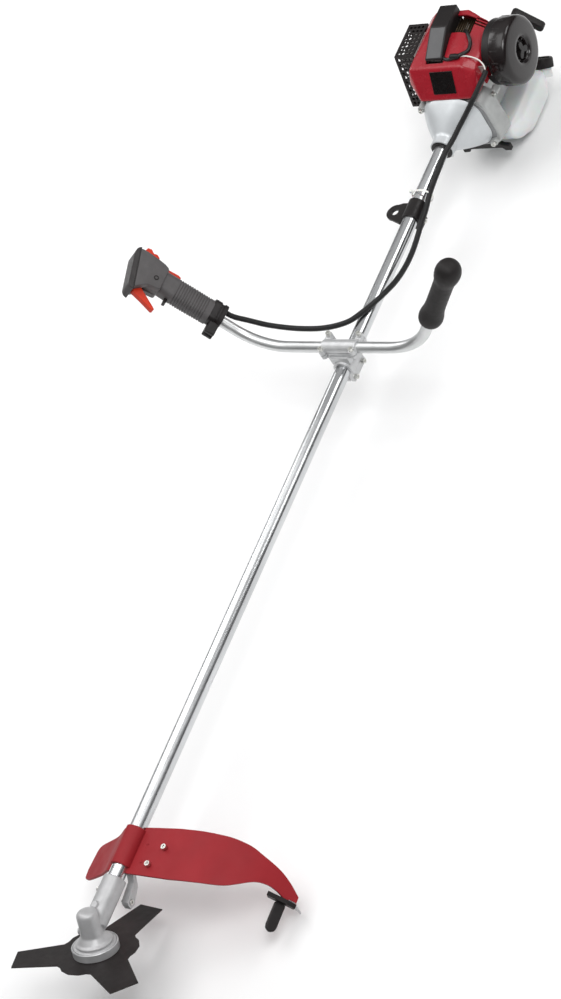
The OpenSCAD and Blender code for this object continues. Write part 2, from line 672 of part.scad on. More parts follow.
module shroud() part("firebrick") difference() {
    corner_hull(shroud_corners(2), 2);
    corner_hull([for (c = shroud_corners(0)) [c[0], c[1], c[2] < 50 ? 30 : c[2]]], 1.4);
    box([1550, -90, 30], [1601.7, 90, 57.4]);
    box([1601, -90, 30], [1720, 90, 48.7]);
    box([1594.5, -17.5, 90], [1720, 17.5, 150]);
    box([1624, -52, 96], [1664, -17, 150]);
    for (i = [0 : 3]) box([1674 + 6.5 * i, -90, 93], [1677.5 + 6.5 * i, -54, 116]);
    box([1626, -90, 30], [1676, -60, 92]);
    box([1670, -90, 82], [1692, -60, 89.5]);
    rod_x(1690, 1740, 56.6);
    box([1634, 50, 30], [1690, 90, 80]);
}

module badge_plate() part([0.08, 0.08, 0.08])
    translate([1573.5, -9, 85]) rotate([0, badge_lean, 0]) box([-2.2, -20, -20], [-0.6, 20, 20]);

// ---------- exhaust ----------

module muffler() part("dimgray") difference() {
    union() {
        slab_x(round_rect([61.5, 24], [94, 94], 10), 1632, 1693);
        translate([crank_x, 48, 62]) rotate([-90, 0, 0]) cylinder(h = 12, r = 16);
    }
    translate([crank_x, 40, 62]) rotate([-90, 0, 0]) cylinder(h = 30, r = 8);
}

guard_side = [[1601, 4], [1627, 102], [1704, 102], [1704, 16], [1690, 4]];
guard_side_in = [[1604, 6.5], [1629, 99.5], [1701.5, 99.5], [1701.5, 17], [1689, 6.5]];

module muffler_guard() part([0.12, 0.12, 0.12]) difference() {
    slab_y(guard_side, 61, 100);
    slab_y(guard_side_in, 50, 97.5);
    for (i = [0 : 5]) for (j = [0 : 2]) translate([1600 + 3.7 * i, 68 + 10 * j, 16 + 14 * i])
        rotate([0, 75, 0]) cylinder(h = 16, r = 3, center = true, $fn = 8);
    for (i = [0 : 5]) for (j = [0 : 2]) translate([1638 + 11 * i, 68 + 10 * j, 101])
        cylinder(h = 10, r = 3, center = true, $fn = 8);
}

// ---------- intake ----------

module carburettor() part("silver") difference() {
    union() {
        box([1632, -86, 46], [1668, -66, 84]);
        translate([crank_x, -46, 62]) rotate([90, 0, 0]) cylinder(h = 21, r = 15);
        box([1602, -84, 70], [1605, -74, 88]);
        box([1602, -77, 70], [1633, -74, 78]);
    }
    translate([crank_x, -40, 62]) rotate([90, 0, 0]) cylinder(h = 60, r = 8);
    translate([1640, -76, 70]) cylinder(h = 40, r = 2.5 + fit);
    translate([1660, -76, 70]) cylinder(h = 40, r = 2.5 + fit);
    translate([crank_x, -76, 40]) cylinder(h = 11, r = 8.7);
    translate([1600, -80, 82]) rotate([0, 90, 0]) cylinder(h = 10, r = 2);
}

module throttle_arm() part("gold") {
    translate([1640, -76, 71]) cylinder(h = 16.5, r = 2.5);
    difference() {
        translate([1640, -76, 84.6]) linear_extrude(2) polygon([[-4, -4], [4, -4], [4, 14], [0, 18], [-4, 14]]);
        translate([1640, -63, 80]) cylinder(h = 10, r = 1.5);
    }
}

module choke_lever() part([0.1, 0.1, 0.1]) {
    translate([1660, -76, 71]) cylinder(h = 16.5, r = 2.5);
    translate([1660, -76, 84.6]) linear_extrude(3) polygon([[-4, -4], [4, -4], [26, 2], [28, 8], [22, 9], [-4, 4]]);
}

module primer_bulb() part("white") {
    translate([crank_x, -76, 38]) sphere(r = 8.4);
    translate([crank_x, -76, 38]) cylinder(h = 8.8, r = 8.2);
}

filter_spot = [1667, 58];
module at_filter(y) translate([filter_spot[0], y, filter_spot[1]]) rotate([90, 0, 0]) children();

module filter_case() part([0.12, 0.12, 0.12]) difference() {
    at_filter(-75) cylinder(h = 15, r = filter_r - 3);
    at_filter(-70) cylinder(h = 16, r = filter_r - 6);
    translate([crank_x, -80, 62]) rotate([90, 0, 0]) cylinder(h = 20, r = 8);
    at_filter(-80) cylinder(h = 20, r = 3.1);
    box([1600, -85, 56], [1616, -70, 90]);
}

module filter_cover() part([0.16, 0.15, 0.15]) difference() {
    at_filter(-90.2) rotate_extrude() polygon([[0, 0], [filter_r, 0], [filter_r, 26], [filter_r - 1.5, 30],
        [filter_r - 7, 33.5], [24, 35], [21, 24], [0, 24]]);
    at_filter(-90.2) translate([0, 0, -1]) rotate_extrude() polygon([[0, 0], [filter_r - 2.6, 0],
        [filter_r - 2.6, 28], [26, 31], [19, 22], [0, 22]]);
    at_filter(-80) cylinder(h = 60, r = 3.1);
}

module filter_knob() part([0.1, 0.1, 0.1]) at_filter(-86.5) {
    cylinder(h = 29, r = 3);
    translate([0, 0, 28.2]) linear_extrude(9.5)
        polygon([for (i = [0 : 47]) (11 + 5.5 * cos(22.5 * i)) * [cos(7.5 * i + 90), sin(7.5 * i + 90)]]);
}

// ---------- recoil starter ----------

rope_y = -60;
rope_z = 2;

module starter_housing() part([0.12, 0.12, 0.12]) difference() {
    union() {
        translate([1697, 0, 0]) rotate([0, 90, 0]) cylinder(h = 32, r = 56);
        translate([1729, 0, 0]) rotate([0, 90, 0]) cylinder(h = 12, r1 = 56, r2 = 40);
        translate([1722, rope_y, rope_z]) rotate([0, 90, 0]) cylinder(h = 30, r = 7);
        box([1722, rope_y, rope_z - 7], [1736, -45, rope_z + 7]);
    }
    rod_x(1690, 1726, 52);
    rod_x(1724, 1732, 40);
    translate([1715, rope_y, rope_z]) rotate([0, 90, 0]) cylinder(h = 50, r = 2.4);
    for (a = [0 : 30 : 330]) rotate([a, 0, 0]) box([1730, 24, -3], [1760, 36, 3]);
    at_starter_screws() screw_hole(30);
    at_starter_screws() cylinder(h = 10, r = screw_head_r + 0.3);
}

module starter_pulley() part([0.3, 0.3, 0.3]) difference() {
    union() {
        rod_x(1718, 1721, 33);
        rod_x(1718, 1728, 29);
        rod_x(1725, 1728, 33);
    }
    rod_x(1710, 1724, 7 + fit);
    rotate([0, 0, 0]) rod_x(1724, 1740, 3);
}

module starter_rope() part("white") translate([1724, rope_y, rope_z]) rotate([0, 90, 0]) cylinder(h = 70, r = 1.75);

handle_x = 1790;
module starter_handle() part([0.1, 0.1, 0.1]) difference() {
    union() {
        translate([0, rope_y, rope_z]) rotate([-45, 0, 0])
            slab_x(round_rect([-8, -32], [8, 32], 7), handle_x, handle_x + 14);
        translate([handle_x - 26, rope_y, rope_z]) rotate([0, 90, 0]) cylinder(h = 27, r1 = 5, r2 = 8);
    }
    translate([handle_x - 30, rope_y, rope_z]) rotate([0, 90, 0]) cylinder(h = 34, r = 1.75);
}

// ---------- fuel tank ----------

function tank_corners(w) = [
    [1608 - w, 58 + w, -68 + w], [1608 - w, -58 - w, -68 + w], [1606 - w, 60 + w, -88], [1606 - w, -60 - w, -88],
    [1624, 58, -112 - w], [1624, -58, -112 - w], [1668, 54, -139 - w], [1668, -54, -139 - w],
    [1734, 52, -139 - w], [1734, -52, -139 - w], [1640, 68 + w, -78], [1640, -71 - w, -78],
    [1660, 68 + w, -116], [1660, -70 - w, -116], [1728, 68 + w, -78], [1730, -71 - w, -78],
    [1736, 66 + w, -120], [1734, -69 - w, -120], [1728, 58, -66 + w], [1728, -62, -66 + w],
    [1774 + w, 50, -98], [1774 + w, -56, -98], [1772 + w, 48, -116], [1770 + w, -52, -116]];

cap_lean = 35;
module cap_frame() translate([1770, -56, -102]) rotate([0, cap_lean, 0]) children();

module fuel_tank() part([0.93, 0.93, 0.9]) difference() {
    union() {
        corner_hull(tank_corners(2.5));
        cap_frame() translate([0, 0, -6]) cylinder(h = 20, r = 14);
    }
    corner_hull(tank_corners(0));
    cap_frame() translate([0, 0, -14]) cylinder(h = 40, r = 11.05);
}

module fuel_cap() part([0.1, 0.1, 0.1]) cap_frame() difference() {
    union() {
        translate([0, 0, 3]) cylinder(h = 18, r = 11);
        translate([0, 0, 8]) cylinder(h = 18, r = 19);
    }
    difference() {
        translate([0, 0, 6]) cylinder(h = 8.4, r = 14.4);
        translate([0, 0, 5]) cylinder(h = 9.4, r = 11);
    }
    cylinder(h = 16, r = 8.5);
}

module tank_stand() part([0.1, 0.1, 0.1])
    slab_x([[-40, -64.1], [34, -64.1], [28, -92], [33, -96], [45, -98], [45, -110], [33, -110], [28, -103],
        [-36, -103], [-41, -110], [-53, -110], [-53, -98], [-41, -96], [-36, -92]], 1592, 1601);

shaft_tube();
drive_shaft();
shaft_bushes();
gearcase();
pinion_gear();
bevel_gear();
spindle();
gearcase_bearings();
blade_holder();
blade();
blade_nut();
guard();
guard_bracket();
line_cutter();
cutter_cover();
handlebar();
bar_clamp_cap();
bar_clamp_base();
cap_screws();
left_grip();
handle_body();
handle_cover();
handle_lid();
throttle_trigger();
trigger_spring();
lockout_lever();
stop_switch();
idle_lock_button();
handle_screws();
throttle_conduit();
harness_bracket();
fan_housing();
clutch_drum();
clutch_shoes();
flywheel();
crankcase();
crankshaft();
connecting_rod();
piston();
engine_cylinder();  // cylinder
spark_plug();
plug_cover();
shroud();
badge_plate();
muffler();
muffler_guard();
carburettor();
throttle_arm();
choke_lever();
primer_bulb();
filter_case();
filter_cover();
filter_knob();
starter_housing();
starter_pulley();
starter_rope();
starter_handle();
fuel_tank();
fuel_cap();
tank_stand();
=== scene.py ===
import json
import math
import bpy
import bmesh
from mathutils import Matrix, Vector
from mathutils.bvhtree import BVHTree


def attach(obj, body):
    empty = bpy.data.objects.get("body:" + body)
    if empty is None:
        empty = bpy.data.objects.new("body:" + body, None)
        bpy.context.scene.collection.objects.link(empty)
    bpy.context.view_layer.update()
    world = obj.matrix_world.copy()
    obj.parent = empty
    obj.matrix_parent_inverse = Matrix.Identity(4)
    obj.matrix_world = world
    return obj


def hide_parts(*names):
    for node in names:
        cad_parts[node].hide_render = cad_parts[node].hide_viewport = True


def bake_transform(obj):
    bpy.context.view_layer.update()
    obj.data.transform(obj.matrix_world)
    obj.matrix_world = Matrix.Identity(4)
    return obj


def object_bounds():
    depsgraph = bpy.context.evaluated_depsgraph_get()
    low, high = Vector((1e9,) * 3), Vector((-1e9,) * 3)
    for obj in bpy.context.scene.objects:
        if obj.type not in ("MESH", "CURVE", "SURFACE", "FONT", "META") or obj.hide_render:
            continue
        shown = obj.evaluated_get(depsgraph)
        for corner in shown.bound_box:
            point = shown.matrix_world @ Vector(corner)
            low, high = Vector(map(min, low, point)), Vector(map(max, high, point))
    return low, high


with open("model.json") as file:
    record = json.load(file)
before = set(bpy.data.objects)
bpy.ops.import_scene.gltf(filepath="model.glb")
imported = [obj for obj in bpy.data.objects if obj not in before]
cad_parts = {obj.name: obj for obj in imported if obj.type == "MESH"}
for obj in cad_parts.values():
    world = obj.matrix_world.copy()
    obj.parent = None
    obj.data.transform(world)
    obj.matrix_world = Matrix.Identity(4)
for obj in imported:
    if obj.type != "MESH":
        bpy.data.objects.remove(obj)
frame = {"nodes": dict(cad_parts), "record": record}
cad_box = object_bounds()
NODES = frame["nodes"]
BODY_OF = {n: b for b, ns in frame["record"]["behaviour"]["bodies"].items() for n in ns}

# ---------------------------------------------------------------- frames
# All shapes are written in millimetres in the shaft frame of part.scad; the row frame is in
# metres from the harness eye.
EYE = Vector((1358, 38, 0))
TO_ROW = Matrix.Scale(0.001, 4) @ Matrix.Translation(-EYE)
BAR_X, BAR_Z, BAR_LEAN = 1043, 33, 2.5
BAR_HALF, BEND_R, RISE = 100, 113, 52
ARM_Y = BAR_HALF + BEND_R * math.sin(math.radians(RISE))
ARM_Z = BEND_R * (1 - math.cos(math.radians(RISE)))


def rot(axis, degrees):
    return Matrix.Rotation(math.radians(degrees), 4, axis)


SHAFT = Matrix.Identity(4)
HEAD = rot("Y", 32)
BAR = Matrix.Translation((BAR_X, 0, BAR_Z)) @ rot("Y", BAR_LEAN)


def arm(side):
    """Frame of one raised end of the handlebar: z along the bar, out of the bend."""
    return BAR @ Matrix.Translation((0, side * ARM_Y, ARM_Z)) @ rot("X", -side * (90 - RISE))


ARM_R, ARM_L = arm(1), arm(-1)
FILTER = Matrix.Translation((1667, 0, 58)) @ rot("X", 90)
FILTER_RIM = FILTER @ Matrix.Translation((0, 0, 90.2))
CAP = Matrix.Translation((1770, -56, -102)) @ rot("Y", 35)


def row(x, y, z):
    """A point in the shaft frame, in the row frame."""
    return TO_ROW @ Vector((x, y, z))


# ---------------------------------------------------------------- mesh helpers
def shade(mesh, sharp):
    """Smooth shading, apart from edges sharper than an angle in degrees."""
    mesh.polygons.foreach_set("use_smooth", [True] * len(mesh.polygons))
    mesh.set_sharp_from_angle(angle=math.radians(sharp))


def make(name, verts, faces, place=SHAFT, sharp=32):
    """An object of this mesh, moved from millimetres in the place's frame to the row frame."""
    mesh = bpy.data.meshes.new(name)
    mesh.from_pydata([tuple(v) for v in verts], [], faces)
    mesh.transform(TO_ROW @ place)
    bm = bmesh.new()
    bm.from_mesh(mesh)
    bmesh.ops.remove_doubles(bm, verts=bm.verts, dist=1e-6)
    bmesh.ops.recalc_face_normals(bm, faces=bm.faces)
    bm.to_mesh(mesh)
    bm.free()
    obj = bpy.data.objects.new(name, mesh)
    bpy.context.scene.collection.objects.link(obj)
    shade(mesh, sharp)
    return obj


def loft(rings, caps=True, loop=False):
    """Vertices and faces of a skin over rings with equal counts; loop joins the last ring to the first."""
    n = len(rings[0])
    verts = [v for r in rings for v in r]
    faces = []
    last = len(rings) if loop else len(rings) - 1
    for i in range(last):
        j = (i + 1) % len(rings)
        for k in range(n):
            m = (k + 1) % n
            faces.append((i * n + k, i * n + m, j * n + m, j * n + k))
    if caps and not loop:
        faces.append(tuple(range(n)))
        faces.append(tuple((len(rings) - 1) * n + k for k in range(n)))
    return verts, faces


def circle(r, n, z=0.0):
    return [Vector((r * math.cos(2 * math.pi * k / n), r * math.sin(2 * math.pi * k / n), z))
            for k in range(n)]


def lathe(name, profile, n=72, place=SHAFT, closed=True, sharp=32):
    """A profile of (radius, height) turned about z; closed joins its last point to its first."""
    rings = [circle(max(r, 1e-4), n, z) for r, z in profile]
    verts, faces = loft(rings, caps=not closed, loop=closed)
    return make(name, verts, faces, place, sharp=sharp)


def unit(v):
    return v / v.length


def smooth_path(points, step=3.0):
    """Catmull-Rom curve through points, with about one point a step."""
    p = [Vector(q) for q in points]
    p = [2 * p[0] - p[1]] + p + [2 * p[-1] - p[-2]]
    out = []
    for i in range(1, len(p) - 2):
        n = max(1, round((p[i + 1] - p[i]).length / step))
        for k in range(n):
            t = k / n
            out.append(0.5 * (2 * p[i] + (p[i + 1] - p[i - 1]) * t
                              + (2 * p[i - 1] - 5 * p[i] + 4 * p[i + 1] - p[i + 2]) * t * t
                              + (3 * p[i] - p[i - 1] - 3 * p[i + 1] + p[i + 2]) * t ** 3))
    out.append(p[-2])
    return out


def sweep(name, path, radius, n=20, place=SHAFT, caps=True, sharp=50):
    """A round tube along a path; radius is a number or a function of (index, distance)."""
    path = [Vector(p) for p in path]
    d0 = unit(path[1] - path[0])
    u = unit(d0.cross(Vector((0.31, -0.2, 0.93))))
    rings, run = [], 0.0
    for i, p in enumerate(path):
        d = unit(path[min(i + 1, len(path) - 1)] - path[max(i - 1, 0)])
        u = unit(u - d * u.dot(d))
        v = d.cross(u)
        if i:
            run += (p - path[i - 1]).length
        r = radius(i, run) if callable(radius) else radius
        rings.append([p + r * (math.cos(2 * math.pi * k / n) * u + math.sin(2 * math.pi * k / n) * v)
                      for k in range(n)])
    verts, faces = loft(rings, caps=caps)
    return make(name, verts, faces, place, sharp=sharp)


def prism(name, outline, low, high, axis="y", place=SHAFT):
    """An outline in (x, z), (y, z) or (x, y), extruded along the third axis."""
    def at(p, h):
        return {"y": (p[0], h, p[1]), "x": (h, p[0], p[1]), "z": (p[0], p[1], h)}[axis]
    verts, faces = loft([[Vector(at(p, h)) for p in outline] for h in (low, high)])
    return make(name, verts, faces, place)


def round_rect(a, b, r, n=8):
    """Corner to corner, a rectangle with corners of radius r, each in n steps."""
    out = []
    for cx, cy, start in ((b[0] - r, b[1] - r, 0), (a[0] + r, b[1] - r, 90), (a[0] + r, a[1] + r, 180),
                          (b[0] - r, a[1] + r, 270)):
        for i in range(n + 1):
            t = math.radians(start + 90 * i / n)
            out.append((cx + r * math.cos(t), cy + r * math.sin(t)))
    return out


def rounded(points, radius):
    """An outline with its corners rounded off, each in a few steps."""
    out = []
    steps = 4
    m = len(points)
    for i in range(m):
        a, b, c = (Vector((*points[(i + k - 1) % m], 0)) for k in range(3))
        la, lc = (a - b).length, (c - b).length
        t = min(radius, 0.45 * la, 0.45 * lc)
        p, q = b + (a - b) / la * t, b + (c - b) / lc * t
        for k in range(steps + 1):
            s = k / steps
            w = (1 - s) ** 2 * p + 2 * s * (1 - s) * b + s * s * q
            out.append((w.x, w.y))
    return out


def modifier(obj, kind, **settings):
    m = obj.modifiers.new(kind.lower(), kind)
    for k, v in settings.items():
        setattr(m, k, v)
    return m


def bevel(obj, width, segments=3, angle=30):
    modifier(obj, "BEVEL", width=width / 1000, segments=segments, limit_method="ANGLE",
             angle_limit=math.radians(angle),
             use_clamp_overlap=True, harden_normals=False, miter_outer="MITER_ARC")
    return obj


def applied(obj, sharp=32):
    graph = bpy.context.evaluated_depsgraph_get()
    mesh = bpy.data.meshes.new_from_object(obj.evaluated_get(graph))
    obj.modifiers.clear()
    obj.data = mesh
    shade(mesh, sharp)
    return obj


def cut(obj, *cutters):
    """Takes the cutters away from a piece and deletes them."""
    for c in cutters:
        modifier(obj, "BOOLEAN", object=c, operation="DIFFERENCE", solver="EXACT")
    applied(obj)
    for c in cutters:
        bpy.data.objects.remove(c)
    return obj


def block(a, b, place=SHAFT, name="cutter"):
    (x0, y0, z0), (x1, y1, z1) = a, b
    return prism(name, [(x0, z0), (x1, z0), (x1, z1), (x0, z1)], y0, y1, "y", place)


def rod(p, q, r, n=32):
    return sweep("cutter", [Vector(p), Vector(q)], r, n)


def clean_copy(node):
    """A copy of a CAD node's mesh with its flat faces whole again."""
    mesh = NODES[node].data.copy()
    bm = bmesh.new()
    bm.from_mesh(mesh)
    bmesh.ops.remove_doubles(bm, verts=bm.verts, dist=2e-6)
    bmesh.ops.dissolve_limit(bm, angle_limit=math.radians(0.8), verts=bm.verts, edges=bm.edges)
    bmesh.ops.recalc_face_normals(bm, faces=bm.faces)
    bm.to_mesh(mesh)
    bm.free()
    obj = bpy.data.objects.new(node + "_piece", mesh)
    bpy.context.scene.collection.objects.link(obj)
    shade(mesh, 30)
    return obj


def done(obj, mat, *nodes, body=None, slot=None):
    """Gives a piece its material and body, and hides the CAD nodes it stands for."""
    obj.data.materials.clear()
    obj.data.materials.append(mat)
    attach(obj, body or BODY_OF[nodes[0]])
    if nodes:
        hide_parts(*nodes)
    return obj


def soften(node, mat, width=0.6, segments=2, angle=30):
    """The CAD node's own shape with its edges eased."""
    obj = bevel(clean_copy(node), width, segments, angle)
    return done(obj, mat, node)


def melted(obj, voxel, passes):
    """The piece remeshed at a voxel size in mm, and smoothed a number of times."""
    modifier(obj, "REMESH", mode="VOXEL", voxel_size=voxel / 1000)
    modifier(obj, "SMOOTH", factor=0.5, iterations=passes)
    return applied(obj, 60)


def hull(name, points, voxel, passes):
    """A smooth pebble round a cloud of points."""
    bm = bmesh.new()
    for p in points:
        bm.verts.new(p)
    bmesh.ops.convex_hull(bm, input=bm.verts)
    mesh = bpy.data.meshes.new(name)
    bm.to_mesh(mesh)
    bm.free()
    mesh.transform(TO_ROW @ SHAFT)
    obj = bpy.data.objects.new(name, mesh)
    bpy.context.scene.collection.objects.link(obj)
    return melted(obj, voxel, passes)


# ---------------------------------------------------------------- materials
def material(name, color, rough=0.5, metallic=0.0, vary=0.12, spot=60.0, grain=900.0, bump=0.08,
             rough_vary=0.08,
             coat=0.0, specular=0.5, stretch=None, subsurface=0.0, transmission=0.0, dust=None):
    """A procedural material: mottled colour and roughness, a fine bump, and any dust.

    dust is (colour, amount, scale), and spot and grain are the scales of the mottling and the bump.
    """
    mat = bpy.data.materials.new(name)
    mat.use_nodes = True
    t = mat.node_tree
    bsdf = t.nodes["Principled BSDF"]
    bsdf.inputs["Metallic"].default_value = metallic
    bsdf.inputs["Coat Weight"].default_value = coat
    bsdf.inputs["Coat Roughness"].default_value = 0.12
    bsdf.inputs["Specular IOR Level"].default_value = specular
    bsdf.inputs["Subsurface Weight"].default_value = subsurface
    bsdf.inputs["Subsurface Scale"].default_value = 0.004
    bsdf.inputs["Transmission Weight"].default_value = transmission
    bsdf.inputs["IOR"].default_value = 1.46
    coord = t.nodes.new("ShaderNodeTexCoord")
    space = t.nodes.new("ShaderNodeMapping")
    space.inputs["Scale"].default_value = stretch or (1, 1, 1)
    t.links.new(coord.outputs["Object"], space.inputs["Vector"])

    def noise(scale, detail, rough_n=0.55):
        n = t.nodes.new("ShaderNodeTexNoise")
        n.inputs["Scale"].default_value = scale
        n.inputs["Detail"].default_value = detail
        n.inputs["Roughness"].default_value = rough_n
        t.links.new(space.outputs["Vector"], n.inputs["Vector"])
        return n

    broad = noise(spot, 4)
    ramp = t.nodes.new("ShaderNodeValToRGB")
    ramp.color_ramp.elements[0].position = 0.3
    ramp.color_ramp.elements[1].position = 0.7
    low = [max(0.0, c * (1 - vary)) for c in color] + [1]
    high = [min(1.0, c * (1 + vary)) for c in color] + [1]
    ramp.color_ramp.elements[0].color = low
    ramp.color_ramp.elements[1].color = high
    t.links.new(broad.outputs["Fac"], ramp.inputs["Fac"])
    out = ramp.outputs["Color"]
    if dust:
        d_color, amount, d_scale = dust
        speck = noise(d_scale, 6, 0.7)
        gate = t.nodes.new("ShaderNodeMapRange")
        gate.inputs["From Min"].default_value = 0.56
        gate.inputs["From Max"].default_value = 0.78
        gate.inputs["To Max"].default_value = amount
        t.links.new(speck.outputs["Fac"], gate.inputs["Value"])
        mix = t.nodes.new("ShaderNodeMix")
        mix.data_type = "RGBA"
        t.links.new(gate.outputs["Result"], mix.inputs["Factor"])
        t.links.new(out, mix.inputs[6])
        mix.inputs[7].default_value = (*d_color, 1)
        out = mix.outputs[2]
    t.links.new(out, bsdf.inputs["Base Color"])
    smear = noise(spot * 2.3, 3)
    r = t.nodes.new("ShaderNodeMapRange")
    r.inputs["From Min"].default_value = 0.25
    r.inputs["From Max"].default_value = 0.75
    r.inputs["To Min"].default_value = max(0.03, rough - rough_vary)
    r.inputs["To Max"].default_value = min(1.0, rough + rough_vary)
    t.links.new(smear.outputs["Fac"], r.inputs["Value"])
    t.links.new(r.outputs["Result"], bsdf.inputs["Roughness"])
    if bump:
        fine = noise(grain, 3, 0.6)
        b = t.nodes.new("ShaderNodeBump")
        b.inputs["Strength"].default_value = bump
        b.inputs["Distance"].default_value = 0.0004
        t.links.new(fine.outputs["Fac"], b.inputs["Height"])
        t.links.new(b.outputs["Normal"], bsdf.inputs["Normal"])
    return mat


TUBE = material("drawn_aluminium", (0.60, 0.61, 0.62), 0.24, 1.0, 0.22, 16, 700, 0.03, 0.08,
                stretch=(0.22, 1, 1))
BAR_ALU = material("bar_aluminium", (0.66, 0.67, 0.67), 0.36, 0.9, 0.08, 20, 800, 0.02, 0.06)
CASTING = material("cast_aluminium", (0.46, 0.46, 0.465), 0.46, 0.35, 0.07, 70, 520, 0.14, 0.07)
CLAMP = material("clamp_aluminium", (0.56, 0.565, 0.57), 0.42, 0.55, 0.07, 70, 620, 0.12, 0.07)
SILVER = material("housing_silver", (0.60, 0.625, 0.64), 0.40, 0.35, 0.05, 40, 700, 0.08, 0.06)
SILVER_DARK = material("crankcase_silver", (0.42, 0.43, 0.425), 0.45, 0.35, 0.08, 50, 560, 0.14, 0.07)
GASKET = material("gasket_grey", (0.22, 0.225, 0.23), 0.6, 0.1, 0.1, 120, 900, 0.1)
STEEL = material("machined_steel", (0.74, 0.74, 0.73), 0.22, 1.0, 0.05, 60, 300, 0.0, 0.05)
ZINC = material("zinc_screws", (0.66, 0.66, 0.63), 0.3, 1.0, 0.08, 200, 1200, 0.05, 0.08)
DARK_STEEL = material("black_oxide", (0.10, 0.10, 0.105), 0.4, 0.8, 0.12, 160, 900, 0.08)
BLADE = material("blade_paint", (0.012, 0.009, 0.0088), 0.42, 0.0, 0.25, 26, 420, 0.08, 0.10, specular=0.35,
                 dust=((0.05, 0.045, 0.04), 0.25, 90))
KNIFE = material("ground_steel", (0.55, 0.55, 0.56), 0.32, 1.0, 0.08, 80, 900, 0.06)
GUARD_RED = material("guard_red", (0.30, 0.017, 0.023), 0.56, 0.0, 0.07, 22, 800, 0.08, 0.06, specular=0.22)
SHROUD_RED = material("shroud_red", (0.33, 0.012, 0.022), 0.26, 0.0, 0.06, 30, 900, 0.03, 0.05, coat=0.25,
                      specular=0.35)
ORANGE = material("trigger_red", (0.58, 0.035, 0.012), 0.45, 0.0, 0.08, 90, 900, 0.08, 0.06, specular=0.25)
HANDLE = material("handle_grey", (0.085, 0.080, 0.081), 0.48, 0.0, 0.10, 70, 1500, 0.25, 0.05, specular=0.4)
HANDLE_LID = material("handle_lid_grey", (0.026, 0.023, 0.023), 0.42, 0.0, 0.12, 70, 1500, 0.2, 0.06,
                      specular=0.4)
BLACK = material("black_plastic", (0.011, 0.009, 0.009), 0.42, 0.0, 0.14, 60, 900, 0.08, 0.07, specular=0.35)
GLOSS_BLACK = material("filter_black", (0.0095, 0.0065, 0.0065), 0.22, 0.0, 0.12, 40, 800, 0.02, 0.05,
                       coat=0.2, specular=0.4)
# Grey for the plug cover's face panel: a painted highlight standing for light on the black cover
PAINTED_HIGHLIGHT_GREY = material("plug_cover_painted_highlight", (0.085, 0.085, 0.088), 0.40, 0.0, 0.08, 60, 1200, 0.14, 0.06)
BADGE = material("badge_black", (0.004, 0.003, 0.003), 0.25, 0.0, 0.12, 60, 900, 0.02, 0.05, specular=0.4)
HEAT_BLACK = material("heat_black", (0.014, 0.011, 0.011), 0.42, 0.1, 0.16, 60, 600, 0.10, 0.08, specular=0.4)
EXHAUST = material("exhaust_steel", (0.62, 0.61, 0.59), 0.42, 0.6, 0.12, 40, 600, 0.10,
                   dust=((0.30, 0.20, 0.12), 0.3, 60))
RUBBER = material("grip_rubber", (0.013, 0.011, 0.011), 0.55, 0.0, 0.12, 60, 1300, 0.2, 0.06, specular=0.3)
CONDUIT = material("conduit_black", (0.009, 0.009, 0.0095), 0.42, 0.0, 0.1, 100, 1200, 0.06, 0.06,
                   specular=0.35)
HT_LEAD = material("ignition_lead", (0.016, 0.014, 0.014), 0.35, 0.0, 0.1, 100, 1200, 0.05)
WIRE = material("white_wire", (0.80, 0.78, 0.74), 0.4, 0.0, 0.05, 100, 900, 0.03)
TIE = material("white_nylon", (0.82, 0.82, 0.79), 0.45, 0.0, 0.04, 80, 900, 0.05, subsurface=0.1)
TANK = material("tank_milky", (0.80, 0.82, 0.82), 0.34, 0.0, 0.03, 24, 700, 0.04, 0.05, subsurface=0.5,
                coat=0.1)
NECK = material("tank_neck", (0.70, 0.72, 0.71), 0.4, 0.0, 0.03, 24, 700, 0.05, subsurface=0.2)
ENGINE = material("fin_aluminium", (0.42, 0.41, 0.39), 0.45, 0.8, 0.14, 60, 600, 0.12, 0.08)
# The aluminium cylinder fins seen through the shroud's window, darkened to near black: painted shade of the
# shroud over them
FIN_PAINTED_SHADE = material("cylinder_fin_painted_shade", (0.075, 0.052, 0.030), 0.34, 0.75, 0.35, 150, 700, 0.10, 0.10)
BRASS = material("zinc_yellow", (0.60, 0.45, 0.20), 0.32, 1.0, 0.1, 120, 900, 0.05)
CERAMIC = material("plug_ceramic", (0.86, 0.86, 0.83), 0.15, 0.0, 0.02, 60, 900, 0.02, coat=0.4)
NYLON = material("bush_nylon", (0.22, 0.14, 0.08), 0.5, 0.0, 0.1, 60, 900, 0.06)
DRUM = material("turned_iron", (0.26, 0.26, 0.265), 0.36, 0.9, 0.1, 90, 800, 0.08)
SHOE = material("sintered_lining", (0.30, 0.21, 0.15), 0.6, 0.5, 0.15, 160, 900, 0.2)
ROPE = material("rope_white", (0.76, 0.75, 0.70), 0.75, 0.0, 0.08, 300, 1600, 0.4)
BULB = material("primer_rubber", (0.72, 0.70, 0.62), 0.25, 0.0, 0.04, 60, 900, 0.03, subsurface=0.3,
                transmission=0.25)
PULLEY = material("pulley_nylon", (0.20, 0.20, 0.20), 0.45, 0.0, 0.08, 60, 900, 0.06)

# ---------------------------------------------------------------- camera, floor and light
CAMERA_LENS = 86.19  # mm
CAMERA_SPOT = (-909.5, -2237.5, 2569.8)
RIGHT = Vector((0.36882, -0.80462, -0.46490))
UP = Vector((0.81980, 0.04427, 0.57165))
BACK = Vector((-0.44054, -0.59162, 0.67538))
cam_data = bpy.data.cameras.new("photo_camera")
cam_data.lens = CAMERA_LENS
cam_data.sensor_width = 36.0
cam_data.sensor_fit = "AUTO"
cam_data.clip_end = 60
cam = bpy.data.objects.new("photo_camera", cam_data)
bpy.context.scene.collection.objects.link(cam)
place = Matrix((RIGHT, UP, BACK)).transposed().to_4x4()
place.translation = row(*CAMERA_SPOT)
cam.matrix_world = place
bpy.context.scene.camera = cam

